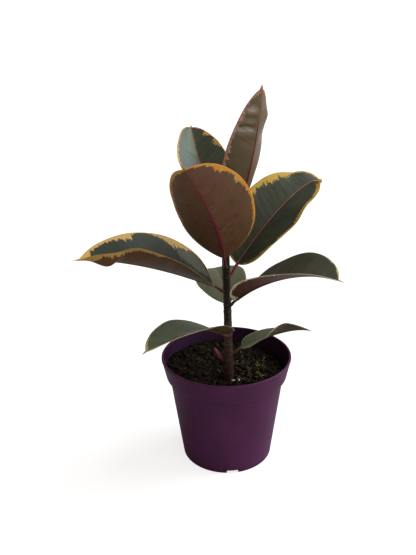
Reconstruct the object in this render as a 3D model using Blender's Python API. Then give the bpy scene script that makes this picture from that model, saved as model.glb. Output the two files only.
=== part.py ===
"""Potted rubber plant: a variegated Ficus elastica in a 14 cm nursery pot.

Units are metres, +Z up. The origin is the middle of the pot's base, on the
surface that the pot stands on. +X is to the right and +Y is away from a
viewer who stands in front.
"""
import bpy
import numpy as np
from math import cos, pi, radians, sin
from mathutils import Vector

MM = 0.001
GAP = 0.3 * MM                      # clearance between pieces that touch

# Pot: a thin moulded shell with a wider collar at the top.
POT_HEIGHT = 118 * MM
RIM_RADIUS = 70 * MM                # outside, at the very top
COLLAR_RADIUS = 65.8 * MM           # outside, at the collar's lower edge
COLLAR_DEPTH = 21.7 * MM
STEP_DEPTH = 4 * MM                 # height of the slope under the collar
NECK_RADIUS = 61.5 * MM             # outside, under that slope
BASE_RADIUS = 50 * MM
CORNER_RADIUS = 5 * MM
POT_WALL = 1.6 * MM
LIP_WIDTH = 2.2 * MM                # thickness of the rim at the top
LIP_HEIGHT = 2.0 * MM
POT_SEGMENTS = 64

# Drain notches through the corner between wall and base.
NOTCH_COUNT = 4
NOTCH_WIDTH = 12.5 * MM
NOTCH_HEIGHT = 3.4 * MM
NOTCH_LENGTH = 14 * MM
NOTCH_TURN = radians(-85)           # heading of the first notch

# Soil, which fills the pot to a little below the rim.
SOIL_BELOW_RIM = 16 * MM
SOIL_LEVEL = POT_HEIGHT - SOIL_BELOW_RIM
SOIL_TILT_X = -0.040                # rise of the surface per metre towards +X
SOIL_TILT_Y = 0.012
SOIL_DIP = 5 * MM                   # hollow around the foot of the stem
SOIL_DIP_RADIUS = 20 * MM
SOIL_RIPPLE = 0.8 * MM
SOIL_RINGS = 7
SOIL_SEGMENTS = 40
SOIL_EDGE_STEP = 0.4 * MM           # least height between two rings of its wall

# Stem: centre line points and radii, from the foot in the soil to the tip. Its
# heights, and those of the leaves and the side shoot, are above the soil's level.
STEM_PATH = [(2, -15, -40), (2, -15, -4), (2, -14.8, 20), (2, -14.5, 43), (1, -14, 88),
             (0, -13, 130), (1, -12, 153), (4, -11, 174), (5.6, -10.5, 185)]
STEM_RADII = [4.6, 4.9, 4.4, 3.7, 3.5, 3.4, 3.2, 3.0, 2.6]
STEM_SIDES = 14
STEM_STEP = 9 * MM                  # length of stem between two rings of the mesh

# What all leaves share.
BLADE_THICKNESS = 0.9 * MM
EDGE_THICKNESS = 0.55 * MM
RIB_RADIUS = 1.5 * MM               # midrib under the blade, at its base
RIB_DEPTH = 1.5 * MM
PETIOLE_RADIUS = 1.9 * MM
BLADE_STATIONS = 22
PETIOLE_STATIONS = 4
FINE_STEPS = 6                      # steps along the midrib between two stations
TIP_LENGTH = 0.045                  # share of the blade that is the drip tip
TIP_WIDTH = 0.9                     # how broad the drip tip is where it starts
OUTLINE_POWER = 2.2                 # squareness of the outline along the blade
MIN_HALF_WIDTH = 0.5 * MM
RIB_TAPER = 0.75                    # share of the midrib's radius lost by the tip
PETIOLE_TAPER = 0.15                # share of the petiole's radius lost by the blade
# Columns of a blade's cross-section, as shares of its half width, left to right.
BLADE_COLUMNS = np.array([-1, -0.55, 0, 0.55, 1])
# The same ring of points round a petiole, as shares of its radius.
PETIOLE_ACROSS = np.array([-1, -0.6, 0, 0.6, 1, 0.8, 0.45, 0, -0.45, -0.8])
PETIOLE_UP = np.array([0, 0.8, 1, 0.8, 0, -0.6, -0.9, -1, -0.9, -0.6])

# Each leaf. Lengths are in millimetres and angles in degrees. Node is the height
# on the stem, heading is counterclockwise from +X, and rise is the climb of the
# blade at its base. Droop and bend lower the climb towards the tip. Sweep turns
# the midrib sideways, and roll and twist turn the blade about the midrib. Fold
# lifts each half, and curl lifts its margin more. Widest is where the blade is
# broadest, and full is how blunt its outline is.
LEAVES = {
    "leaf_top": dict(node=180, heading=329, petiole=16, start=31, rise=73, droop=-11, bend=-4,
                     sweep=-2, roll=-17, twist=0, fold=22, curl=11, length=105, width=56,
                     widest=0.29, full=1.54),
    "leaf_back_left": dict(node=177, heading=116, petiole=16, start=36, rise=20, droop=-29, bend=4,
                           sweep=-17, roll=-18, twist=29, fold=28, curl=6, length=120, width=62,
                           widest=0.39, full=1.8),
    "leaf_front": dict(node=121, heading=261, petiole=16, start=62, rise=52, droop=1, bend=6,
                       sweep=-31, roll=9, twist=19, fold=20, curl=22, length=135, width=85,
                       widest=0.42, full=1.8),
    "leaf_right_upper": dict(node=109, heading=34, petiole=14, start=62, rise=47, droop=34, bend=26,
                             sweep=19, roll=10, twist=2, fold=25, curl=8, length=161, width=77,
                             widest=0.35, full=1.6),
    "leaf_left_long": dict(node=95, heading=208, petiole=13, start=54, rise=29, droop=13, bend=5,
                           sweep=17, roll=-28, twist=41, fold=29, curl=5, length=160, width=80,
                           widest=0.46, full=1.13),
    "leaf_right_mid": dict(node=80, heading=-49, petiole=10, start=58, rise=42, droop=34, bend=25,
                           sweep=22, roll=3, twist=-3, fold=21, curl=3, length=131, width=73,
                           widest=0.57, full=1.6),
    "leaf_back_lower": dict(node=72, heading=94, petiole=10, start=20, rise=19, droop=38, bend=-9,
                            sweep=4, roll=-3, twist=-4, fold=11, curl=-8, length=107, width=58,
                            widest=0.54, full=1.9),
    "leaf_left_low": dict(node=46, heading=244, petiole=12, start=35, rise=36, droop=41, bend=8,
                          sweep=-17, roll=-1, twist=7, fold=11, curl=1, length=132, width=53,
                          widest=0.43, full=1.42),
    "leaf_right_low": dict(node=24, heading=-4, petiole=10, start=58, rise=29, droop=8, bend=25,
                           sweep=-26, roll=-2, twist=-17, fold=10, curl=0, length=82, width=43,
                           widest=0.42, full=2.2),
}

# Buds: a side shoot low on the stem, and the sheath that ends the stem.
SHOOT_NODE = 6 * MM                 # height above the soil where it leaves the stem
SHOOT_TIP = (-13.4, -12.0, 30)      # millimetres, the last one above the soil
SHOOT_RADIUS = 2.3 * MM
BUD_LENGTH = 17 * MM
BUD_NECK = 0.55                     # radius at the foot, as a share of the greatest
BUD_RADIUS = 2.4 * MM
BUD_SIDES = 10
BUD_RINGS = 7


def clear_scene():
    for item in list(bpy.data.objects):
        bpy.data.objects.remove(item, do_unlink=True)


def material(name, colour, roughness, metallic=0.0):
    """A Principled material with a linear RGB colour."""
    made = bpy.data.materials.new(name)
    made.use_nodes = True
    shader = made.node_tree.nodes["Principled BSDF"]
    shader.inputs["Base Color"].default_value = (*colour, 1.0)
    shader.inputs["Roughness"].default_value = roughness
    shader.inputs["Metallic"].default_value = metallic
    return made


def mesh_object(name, points, faces, finish):
    """One object from points and faces, smooth except at edges over 40 degrees."""
    mesh = bpy.data.meshes.new(name)
    mesh.from_pydata([tuple(p) for p in points], [], faces)
    mesh.materials.append(finish)
    mesh.shade_smooth()
    mesh.set_sharp_from_angle(angle=radians(40))
    made = bpy.data.objects.new(name, mesh)
    bpy.context.collection.objects.link(made)
    return made


def loft(rings):
    """Faces that join rings of equal length, listed foot first, with both ends closed.

    Each ring runs counterclockwise as seen from beyond its end of the piece.
    """
    count = len(rings[0])
    faces = []
    for ring in range(len(rings) - 1):
        for side in range(count):
            after = (side + 1) % count
            low, high = ring * count, (ring + 1) * count
            faces.append((low + side, low + after, high + after, high + side))
    faces.append(tuple(reversed(range(count))))
    faces.append(tuple(range((len(rings) - 1) * count, len(rings) * count)))
    return np.concatenate(rings), faces


def turned(profile, segments):
    """Points and faces of a closed (radius, height) profile turned about Z.

    The profile starts and ends on the axis, and runs up its outer side.
    """
    points, faces = [(0.0, 0.0, profile[0][1])], []
    rings = profile[1:-1]
    for radius, height in rings:
        for side in range(segments):
            turn = 2 * pi * side / segments
            points.append((radius * cos(turn), radius * sin(turn), height))
    points.append((0.0, 0.0, profile[-1][1]))
    top, last = len(points) - 1, 1 + (len(rings) - 1) * segments
    for side in range(segments):
        after = (side + 1) % segments
        faces.append((0, 1 + after, 1 + side))
        for ring in range(len(rings) - 1):
            low, high = 1 + ring * segments, 1 + (ring + 1) * segments
            faces.append((low + side, low + after, high + after, high + side))
        faces.append((last + side, last + after, top))
    return points, faces


def arc(centre, radius, start, end, steps):
    """Points of an arc of (radius, height), with angles in degrees from +X."""
    turns = np.radians(np.linspace(start, end, steps + 1))
    return [(centre[0] + radius * cos(t), centre[1] + radius * sin(t)) for t in turns]


def subtract(body, cutter):
    """Cut one mesh out of another, and remove the cutter."""
    cut = body.modifiers.new("cut", "BOOLEAN")
    cut.operation = "DIFFERENCE"
    cut.solver = "EXACT"
    cut.object = cutter
    scene = bpy.context.evaluated_depsgraph_get()
    mesh = bpy.data.meshes.new_from_object(body.evaluated_get(scene))
    body.modifiers.clear()
    body.data = mesh
    bpy.data.objects.remove(cutter, do_unlink=True)


def wall_radius(height):
    """Outer radius of the pot at a height, from the base to the rim."""
    collar = POT_HEIGHT - COLLAR_DEPTH
    heights = [CORNER_RADIUS, collar - STEP_DEPTH, collar, POT_HEIGHT]
    return float(np.interp(height, heights, [BASE_RADIUS, NECK_RADIUS, COLLAR_RADIUS, RIM_RADIUS]))


def inner_radius(height):
    """Inner radius of the pot. Under the collar the inside follows the outside."""
    return wall_radius(height) - POT_WALL


def make_pot(finish):
    """Turn the shell in one profile, then cut the drain notches."""
    collar = POT_HEIGHT - COLLAR_DEPTH
    lip_foot = POT_HEIGHT - LIP_HEIGHT
    corner = BASE_RADIUS - CORNER_RADIUS
    floor = POT_WALL
    profile = [(0, 0)] + arc((corner, CORNER_RADIUS), CORNER_RADIUS, -90, 0, 4)
    profile += [(NECK_RADIUS, collar - STEP_DEPTH), (COLLAR_RADIUS, collar),
                (wall_radius(lip_foot), lip_foot), (RIM_RADIUS, POT_HEIGHT - LIP_HEIGHT / 2),
                (RIM_RADIUS - LIP_WIDTH / 4, POT_HEIGHT),
                (RIM_RADIUS - LIP_WIDTH, POT_HEIGHT - LIP_HEIGHT / 8),
                (inner_radius(lip_foot), lip_foot), (inner_radius(collar), collar),
                (inner_radius(collar - STEP_DEPTH), collar - STEP_DEPTH)]
    inside = arc((corner, CORNER_RADIUS), CORNER_RADIUS - POT_WALL, 0, -90, 3)
    profile += inside + [(0, floor)]
    pot = mesh_object("pot", *turned(profile, POT_SEGMENTS), finish)
    for number in range(NOTCH_COUNT):
        turn = NOTCH_TURN + 2 * pi * number / NOTCH_COUNT
        bpy.ops.mesh.primitive_cube_add(size=1)
        cutter = bpy.context.object
        cutter.scale = (NOTCH_LENGTH, NOTCH_WIDTH, 2 * NOTCH_HEIGHT)
        reach = BASE_RADIUS
        cutter.location = (reach * cos(turn), reach * sin(turn), 0)
        cutter.rotation_euler = (0, 0, turn)
        cutter.hide_render = True
        cutter.display_type = "WIRE"
        bpy.context.view_layer.update()
        subtract(pot, cutter)
    return pot


def stem_path():
    """Points of the stem's centre line in metres, from its foot to its tip."""
    return np.array(STEM_PATH) * MM + np.array([0, 0, SOIL_LEVEL])


def stem_point(height):
    """Centre of the stem at a height."""
    path = stem_path()
    return np.array([np.interp(height, path[:, 2], path[:, axis]) for axis in range(3)])


def stem_radius(height):
    """Radius of the stem at a height."""
    return float(np.interp(height, stem_path()[:, 2], np.array(STEM_RADII) * MM))


def soil_height(x, y):
    """Surface of the soil: a tilted plane, gentle ripples and a dip at the stem."""
    foot = stem_point(SOIL_LEVEL)
    ripple = np.sin(190 * x + 1.1) * np.sin(160 * y + 0.4) + 0.6 * np.sin(90 * x - 230 * y)
    away = ((x - foot[0]) ** 2 + (y - foot[1]) ** 2) / SOIL_DIP_RADIUS ** 2
    plane = SOIL_LEVEL + SOIL_TILT_X * x + SOIL_TILT_Y * y
    return plane + SOIL_RIPPLE * ripple - SOIL_DIP * np.exp(-away)


def make_soil(finish):
    """One mass that follows the inside of the pot, with a hole for the stem."""
    bottom = POT_WALL + GAP
    corner = BASE_RADIUS - CORNER_RADIUS
    inside = CORNER_RADIUS - POT_WALL
    side = [(corner + inside * cos(radians(t)) - GAP, CORNER_RADIUS + inside * sin(radians(t)) + GAP)
            for t in (-90, -60, -30, 0)]
    side[0] = (corner - GAP, bottom)
    rings = [np.array([(r * cos(2 * pi * k / SOIL_SEGMENTS), r * sin(2 * pi * k / SOIL_SEGMENTS), z)
                       for k in range(SOIL_SEGMENTS)]) for r, z in side]
    turns = 2 * pi * np.arange(SOIL_SEGMENTS) / SOIL_SEGMENTS
    level = inner_radius(SOIL_LEVEL) - GAP
    edge_height = soil_height(level * np.cos(turns), level * np.sin(turns))
    edge = np.array([inner_radius(height) - GAP for height in edge_height])
    collar = POT_HEIGHT - COLLAR_DEPTH
    for number, height in ((2, collar - STEP_DEPTH), (1, collar)):
        level = np.minimum(height, edge_height - number * SOIL_EDGE_STEP)
        reach = np.array([inner_radius(z) - GAP for z in level])
        rings.append(np.stack([reach * np.cos(turns), reach * np.sin(turns), level], -1))
    for number in range(SOIL_RINGS, 0, -1):
        x, y = [edge * number / SOIL_RINGS * way for way in (np.cos(turns), np.sin(turns))]
        height = edge_height if number == SOIL_RINGS else soil_height(x, y)
        rings.append(np.stack([x, y, height], -1))
    soil = mesh_object("soil", *loft(rings), finish)
    foot = stem_path()[0] - np.array([0, 0, GAP])
    socket = tube([foot, stem_point(SOIL_LEVEL + 2 * SOIL_DIP)],
                  [stem_radius(SOIL_LEVEL) + 2 * GAP] * 2, STEM_SIDES)
    subtract(soil, mesh_object("socket", *socket, finish))
    return soil


def tube(path, radii, sides):
    """A closed tube along a path, with a radius at each of its points."""
    path = np.array([tuple(p) for p in path])
    along = np.gradient(path, axis=0)
    along /= np.linalg.norm(along, axis=1)[:, None]
    level = np.cross([0.0, 1.0, 0.0], along)
    level /= np.linalg.norm(level, axis=1)[:, None]
    across = np.cross(along, level)
    turns = 2 * pi * np.arange(sides) / sides
    rings = [p + r * (np.cos(turns)[:, None] * a + np.sin(turns)[:, None] * b)
             for p, r, a, b in zip(path, radii, level, across)]
    return loft(rings)


def make_stem(finish):
    """The stem from its foot in the soil to its tip, with a swelling at each leaf."""
    foot, tip = stem_path()[[0, -1], 2]
    heights = np.linspace(foot, tip, int((tip - foot) / STEM_STEP) + 1)
    path = [stem_point(z) for z in heights]
    radii = [stem_radius(z) for z in heights]
    return mesh_object("stem", *tube(path, radii, STEM_SIDES), finish)


def outline(along, leaf):
    """Half width of a blade as a share of its greatest half width."""
    skew = np.log(0.5) / np.log(leaf["widest"])
    place = np.clip(along / (1 - TIP_LENGTH), 0, 1) ** skew
    body = np.clip(1 - np.abs(2 * place - 1) ** OUTLINE_POWER, 0, 1) ** (1 / leaf["full"])
    drip = TIP_WIDTH * (1 - along) * along ** 6
    return np.sqrt(body ** 2 + drip ** 2)


def direction(climb, heading):
    """Unit vector from a climb and a heading in degrees."""
    climb, heading = np.radians(climb), np.radians(heading)
    return np.stack([np.cos(climb) * np.cos(heading), np.cos(climb) * np.sin(heading),
                     np.sin(climb)], -1)


def leaf_line(leaf):
    """Petiole points, blade points, and the sideways and upward unit vectors along both."""
    node = SOIL_LEVEL + leaf["node"] * MM
    lean = sin(radians(leaf["start"])) * PETIOLE_RADIUS
    out = direction(0, leaf["heading"])
    begin = stem_point(node) + out * (stem_radius(node) + GAP + lean)
    share = (np.arange(PETIOLE_STATIONS) + 0.5) / PETIOLE_STATIONS
    climb = leaf["start"] + (leaf["rise"] - leaf["start"]) * share
    step = direction(climb, np.full_like(climb, leaf["heading"])) * leaf["petiole"] * MM
    petiole = begin + np.vstack([np.zeros(3), np.cumsum(step / PETIOLE_STATIONS, 0)])
    count = BLADE_STATIONS * FINE_STEPS
    middle = (np.arange(count) + 0.5) / count
    step = direction(climb_at(middle, leaf), leaf["heading"] + leaf["sweep"] * middle)
    run = np.vstack([np.zeros(3), np.cumsum(step * leaf["length"] * MM / count, 0)])
    return petiole, petiole[-1] + run[::FINE_STEPS]


def climb_at(along, leaf):
    """Climb of the midrib in degrees, at a share of its length."""
    return leaf["rise"] - leaf["droop"] * along - leaf["bend"] * along ** 4


def leaf_frame(climb, heading, roll):
    """Sideways and upward unit vectors of a blade whose midrib has this direction."""
    forward = direction(climb, heading)
    turn = np.radians(heading)
    level = np.stack([-np.sin(turn), np.cos(turn), np.zeros_like(turn)], -1)
    upward = np.cross(forward, level)
    roll = np.radians(roll)[:, None]
    return level * np.cos(roll) + upward * np.sin(roll), upward * np.cos(roll) - level * np.sin(roll)


def leaf_ring(place, side, up, half, rib, leaf):
    """One closed cross-section of a blade: over the top, then back under it.

    Each half climbs from the midrib at the fold angle, and more towards its
    margin by the curl. The middle point underneath drops to the midrib's depth.
    """
    across = half * BLADE_COLUMNS
    outer, inner = 0.55 * half, min(rib, 0.35 * half)
    under = np.array([outer, inner, 0, -inner, -outer])
    lateral = np.concatenate([across, under])
    share = np.abs(lateral) / half
    lift = np.radians(leaf["fold"] + leaf["curl"] * share / 2)
    flat = lateral * np.cos(lift)
    high = np.abs(lateral) * np.sin(lift)
    thick = np.where(share == 1, EDGE_THICKNESS, BLADE_THICKNESS) / 2
    thick[len(across):] *= -1
    thick[len(across) + 2] -= RIB_DEPTH * rib / RIB_RADIUS
    normal = up * np.cos(lift)[:, None] - side * (np.sign(lateral) * np.sin(lift))[:, None]
    return place + side * flat[:, None] + up * high[:, None] + normal * thick[:, None]


def make_leaf(name, leaf, finish):
    """Blade, midrib and petiole as one grown piece, lofted through its cross-sections."""
    petiole, blade = leaf_line(leaf)
    count = BLADE_STATIONS + 1
    along = np.linspace(0, 1, count)
    side, up = leaf_frame(climb_at(along, leaf), leaf["heading"] + leaf["sweep"] * along,
                          leaf["roll"] + leaf["twist"] * along)
    half = np.maximum(outline(along, leaf) * leaf["width"] * MM / 2, MIN_HALF_WIDTH)
    rings = []
    stalk = np.linspace(leaf["start"], leaf["rise"], PETIOLE_STATIONS + 1)
    stalk_side, stalk_up = leaf_frame(stalk, np.full_like(stalk, leaf["heading"]),
                                      np.linspace(0, leaf["roll"], PETIOLE_STATIONS + 1))
    for number in range(PETIOLE_STATIONS + 1):
        radius = PETIOLE_RADIUS * (1 - PETIOLE_TAPER * number / PETIOLE_STATIONS)
        ring = (stalk_side[number] * PETIOLE_ACROSS[:, None]
                + stalk_up[number] * PETIOLE_UP[:, None])
        rings.append(petiole[number] + radius * ring)
    for number in range(1, count):
        rib = RIB_RADIUS * (1 - RIB_TAPER * along[number])
        rings.append(leaf_ring(blade[number], side[number], up[number], half[number], rib, leaf))
    # These rings run clockwise as seen from the tip, so each is turned round for the loft.
    return mesh_object(name, *loft([ring[::-1] for ring in rings]), finish)


def make_shoot(name, foot, tip, radius, finish):
    """A sheathed bud: a spindle with a narrow neck, a full middle and a sharp tip."""
    share = np.linspace(0, 1, BUD_RINGS)
    path = [foot + (tip - foot) * s for s in share]
    radii = radius * (BUD_NECK * (1 - share) + 2.6 * share * (1 - share) ** 0.8)
    return mesh_object(name, *tube(path, np.maximum(radii, 0.3 * MM), BUD_SIDES), finish)


def main():
    clear_scene()
    plastic = material("purple_plastic", (0.050, 0.010, 0.060), 0.45)
    peat = material("peat_soil", (0.018, 0.011, 0.008), 0.95)
    bark = material("stem_bark", (0.060, 0.030, 0.022), 0.7)
    leaf_skin = material("leaf_skin", (0.045, 0.060, 0.035), 0.35)
    sheath = material("bud_sheath", (0.25, 0.02, 0.02), 0.4)
    make_pot(plastic)
    make_soil(peat)
    make_stem(bark)
    for name, leaf in LEAVES.items():
        make_leaf(name, leaf, leaf_skin)
    height = SOIL_LEVEL + SHOOT_NODE
    node = Vector(stem_point(height))
    tip = Vector(SHOOT_TIP) * MM + Vector((0, 0, SOIL_LEVEL))
    lean = (tip - node).normalized()
    level = Vector((lean.x, lean.y, 0)).length
    begin = (stem_radius(height) + GAP + BUD_NECK * SHOOT_RADIUS * lean.z) / level
    make_shoot("basal_bud", node + lean * begin, tip, SHOOT_RADIUS, sheath)
    below, top = [Vector(point) for point in stem_path()[-2:]]
    lean = (top - below).normalized()
    make_shoot("apical_bud", top + lean * GAP, top + lean * BUD_LENGTH, BUD_RADIUS, sheath)


main()
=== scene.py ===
# %% [markdown]
# # A potted rubber plant
# This lesson finishes a young variegated rubber plant, *Ficus elastica*, in a
# 14 cm nursery pot. The plain solids of the pot, soil, stem, leaves and buds
# are already in the frame. Each one gets a fine surface here, worked out with
# numpy, and a procedural material that is named for what the real thing is.
#
# A leaf is the heart of the lesson: one formula places any point of a blade
# from its share along the midrib and its share across, so a few readable
# numbers per leaf give nine different leaves.

# %% Tools and frame
import functools
import math
from types import SimpleNamespace

import bpy
import numpy as np
from mathutils import Matrix, Vector


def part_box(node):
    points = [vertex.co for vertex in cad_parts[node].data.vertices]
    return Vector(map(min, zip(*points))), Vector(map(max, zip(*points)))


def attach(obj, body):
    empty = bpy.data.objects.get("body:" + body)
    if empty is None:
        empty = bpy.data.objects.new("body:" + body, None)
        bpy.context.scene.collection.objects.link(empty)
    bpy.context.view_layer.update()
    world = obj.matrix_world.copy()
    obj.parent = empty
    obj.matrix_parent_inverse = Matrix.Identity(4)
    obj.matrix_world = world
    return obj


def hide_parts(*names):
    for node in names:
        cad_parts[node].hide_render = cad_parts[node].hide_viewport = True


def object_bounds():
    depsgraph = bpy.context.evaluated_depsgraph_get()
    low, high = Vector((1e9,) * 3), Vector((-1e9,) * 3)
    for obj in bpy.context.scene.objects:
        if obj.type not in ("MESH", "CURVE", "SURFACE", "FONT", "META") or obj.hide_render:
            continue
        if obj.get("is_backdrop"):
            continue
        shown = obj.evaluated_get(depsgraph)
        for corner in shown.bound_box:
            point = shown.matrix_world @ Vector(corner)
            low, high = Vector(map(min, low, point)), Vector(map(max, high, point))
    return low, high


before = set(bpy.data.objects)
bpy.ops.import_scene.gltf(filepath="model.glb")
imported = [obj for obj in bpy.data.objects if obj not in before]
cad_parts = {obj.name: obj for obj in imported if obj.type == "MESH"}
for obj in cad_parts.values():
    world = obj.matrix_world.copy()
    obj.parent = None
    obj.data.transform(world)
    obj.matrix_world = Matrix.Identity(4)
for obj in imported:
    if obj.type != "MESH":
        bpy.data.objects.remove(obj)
cad_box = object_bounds()
MM = 0.001
rng = np.random.default_rng(20)

# %% [markdown]
# ## The camera
# The viewer stands half a metre away and looks down at the plant from above
# the rim of the pot. A camera that close sees the undersides of the upper
# leaves and the tops of the lower ones. It is rolled by about a degree.

# %% Camera
CAMERA_PLACE = Vector((-0.018, -0.582, 0.421))
CAMERA_PITCH = math.radians(20.24)      # below the horizon
CAMERA_ROLL = math.radians(1.16)        # clockwise
CAMERA_LENS = 38.92                     # millimetres, on a 36 mm long side

forward = Vector((0, math.cos(CAMERA_PITCH), -math.sin(CAMERA_PITCH)))
level = Vector((1, 0, 0))
above = level.cross(forward)
right = level * math.cos(CAMERA_ROLL) - above * math.sin(CAMERA_ROLL)
up = level * math.sin(CAMERA_ROLL) + above * math.cos(CAMERA_ROLL)
camera = bpy.data.objects.new("camera", bpy.data.cameras.new("camera"))
camera.data.lens = CAMERA_LENS
camera.data.sensor_width = 36
turned = Matrix((right, up, -forward)).transposed().to_4x4()
camera.matrix_world = Matrix.Translation(CAMERA_PLACE) @ turned
bpy.context.collection.objects.link(camera)
bpy.context.scene.camera = camera
print("camera at", tuple(CAMERA_PLACE))

# %% [markdown]
# ## One way to make every surface
# Nearly every piece here is a skin of rings: a leaf is a flat ring carried
# along its midrib, a stem is a round one carried upwards, and a pot is a
# ring that runs round its axis. So one function turns a grid of points,
# rings by points in a ring, into a closed mesh. It measures the volume that
# the faces enclose, and turns them round if that comes out negative.

# %% Skin of rings
def ring_turns(count):
    """Angles of evenly spaced points round a ring."""
    return 2 * np.pi * np.arange(count) / count


def mesh_object(name, points, faces, finishes=()):
    """A smooth mesh object at the origin, linked to the scene."""
    mesh = bpy.data.meshes.new(name)
    mesh.from_pydata(points, [], faces)
    for finish_part in finishes:
        mesh.materials.append(finish_part)
    mesh.shade_smooth()
    made = bpy.data.objects.new(name, mesh)
    bpy.context.collection.objects.link(made)
    return made


def skin(name, rings, finishes=(), finish_of=None, facts=None):
    """A closed mesh from rings of points.

    rings has the shape (rings, points, 3). Neighbouring rings are joined by
    quads, and each end is closed by a fan to the ring's middle. finish_of is
    the material number of each quad of a ring. facts are named values, one
    number or three for every point.
    """
    count, around = rings.shape[:2]
    index = np.arange(count * around).reshape(count, around)
    after = np.roll(index, -1, axis=1)
    quads = np.stack([index[:-1], after[:-1], after[1:], index[1:]], -1).reshape(-1, 4)
    points = np.concatenate([rings.reshape(-1, 3), rings[[0, -1]].mean(1)])
    first, last = count * around, count * around + 1
    faces = [tuple(quad) for quad in quads.tolist()]
    faces += [(first, b, a) for a, b in zip(index[0].tolist(), after[0].tolist())]
    faces += [(last, a, b) for a, b in zip(index[-1].tolist(), after[-1].tolist())]
    if signed_volume(points, quads) < 0:
        faces = [tuple(reversed(face)) for face in faces]
    made = mesh_object(name, points, faces, finishes)
    if finish_of is not None:
        numbers = np.zeros(len(faces), np.int32)
        numbers[:len(quads)] = np.broadcast_to(finish_of, (count - 1, around)).ravel()
        made.data.polygons.foreach_set("material_index", numbers)
    for fact_name, values in (facts or {}).items():
        values = np.asarray(values, np.float32).reshape(count, around, -1)
        ends = values[[0, -1]].mean(1)
        values = np.concatenate([values.reshape(count * around, -1), ends])
        kind, field = ("FLOAT", "value") if values.shape[1] == 1 else ("FLOAT_VECTOR", "vector")
        made.data.attributes.new(fact_name, kind, "POINT").data.foreach_set(field, values.ravel())
    made.data.update()
    return made


def signed_volume(points, quads):
    """Volume inside the quads: a sixth of the sum of each triangle's triple product."""
    a, b, c, d = (points[quads[:, k]] for k in range(4))
    return (np.einsum("ij,ij", a, np.cross(b, c)) + np.einsum("ij,ij", a, np.cross(c, d))) / 6


def place(piece, slot, *nodes):
    """Tell the frame what a finished piece rides on and stands for. The slot is not used."""
    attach(piece, "root")
    if nodes:
        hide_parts(*nodes)
    print(piece.name, len(piece.data.polygons), "faces")
    return piece

# %% [markdown]
# ## Materials from small nodes
# A colour is written the way a paint chart gives it, as an sRGB hex value,
# and one function turns it to the linear numbers that light works in. One
# other small function adds a node, sets it up and wires its inputs, and every
# material below is built with it. A layer of paint is a tint laid over the
# colour so far, by one share or by the product of several.

# %% Node helper
def linear(hex_colour):
    """Linear RGBA of an sRGB hex colour."""
    share = np.array([int(hex_colour[k:k + 2], 16) for k in (1, 3, 5)]) / 255
    low, high = share / 12.92, ((share + 0.055) / 1.055) ** 2.4
    return (*np.where(share <= 0.04045, low, high).tolist(), 1.0)


def node(kind, settings=None, tree=None, **inputs):
    """Add a node. settings are its properties, inputs its sockets by name or number.

    An input named s3 is socket number 3. A value that is a socket is wired. The
    node joins the given tree, or else the one that its first wire comes from.
    """
    wires = [value for value in inputs.values() if isinstance(value, bpy.types.NodeSocket)]
    tree = tree or wires[0].id_data
    made = tree.nodes.new("ShaderNode" + kind)
    for key, value in (settings or {}).items():
        setattr(made, key, value)
    for key, value in inputs.items():
        socket = made.inputs[int(key[1:]) if key[1:].isdigit() else key.replace("_", " ")]
        if isinstance(value, bpy.types.NodeSocket):
            tree.links.new(value, socket)
        else:
            socket.default_value = value
    return made


def maths(operation, *values):
    """A Math node's result."""
    inputs = {f"s{k}": value for k, value in enumerate(values)}
    return node("Math", {"operation": operation}, **inputs).outputs[0]


def times(*values):
    """The product of its values."""
    return functools.reduce(functools.partial(maths, "MULTIPLY"), values)


def scaled(value, gain, plus):
    """A value times a gain, plus a number."""
    return maths("MULTIPLY_ADD", value, gain, plus)


def blend(share, under, over, mode="MIX"):
    """One colour laid over another by a share. Either may be a hex value."""
    under, over = (linear(tint) if isinstance(tint, str) else tint for tint in (under, over))
    settings = {"data_type": "RGBA", "blend_type": mode}
    return node("Mix", settings, s0=share, s6=under, s7=over).outputs[2]


def paint(colour, tint, *shares):
    """The colour so far, under a tint laid on by the product of the shares."""
    return blend(times(*shares), colour, tint)


def specked(colour, speck, share):
    """A colour with fine light and dark grains in it."""
    return blend(share, colour, blend(speck, (0.3, 0.3, 0.3, 1), (1, 1, 1, 1)), "OVERLAY")


def noise(vector, size, detail=2.0, rough=0.5):
    """Noise from 0 to 1 with features about this far apart, in the vector's own unit."""
    settings = {"Scale": 1 / size, "Detail": detail, "Roughness": rough}
    return node("TexNoise", Vector=vector, **settings).outputs["Fac"]


def ramp(value, low, high):
    """A value turned to 0 at low and 1 at high, with a soft shoulder at each."""
    settings = {"interpolation_type": "SMOOTHSTEP"}
    return node("MapRange", settings, s0=value, s1=low, s2=high).outputs[0]


def bump(height, depth, under=None):
    """A normal from a height, with the depth in metres that a height of 1 stands for."""
    rest = {"Normal": under} if under else {}
    return node("Bump", Height=height, Distance=depth, Strength=1.0, **rest).outputs[0]


def parts(vector):
    """The three numbers of a vector."""
    return node("SeparateXYZ", Vector=vector).outputs[:3]


def stretched(vector, *scale, **inputs):
    """A vector scaled per axis: a small number draws the pattern out along that axis."""
    return node("Mapping", Vector=vector, Scale=scale, **inputs).outputs[0]


def new_material(name):
    """A material with an empty tree."""
    made = bpy.data.materials.new(name)
    made.use_nodes = True
    made.node_tree.nodes.clear()
    return made


def own_place(made):
    """Where a point lies on the object, in metres."""
    return node("TexCoord", tree=made.node_tree).outputs["Object"]


def fact(made, name, output="Fac"):
    """A named value that rides on the points: Fac reads one number, Vector three."""
    return node("Attribute", {"attribute_name": name}, made.node_tree).outputs[output]


def finish(made, **inputs):
    """Close a material with its Principled shader."""
    shader = node("BsdfPrincipled", tree=made.node_tree, **inputs)
    node("OutputMaterial", Surface=shader.outputs[0])
    return made


print("white is", linear("#ffffff"), "| mid grey is", round(linear("#808080")[0], 3))

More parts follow.
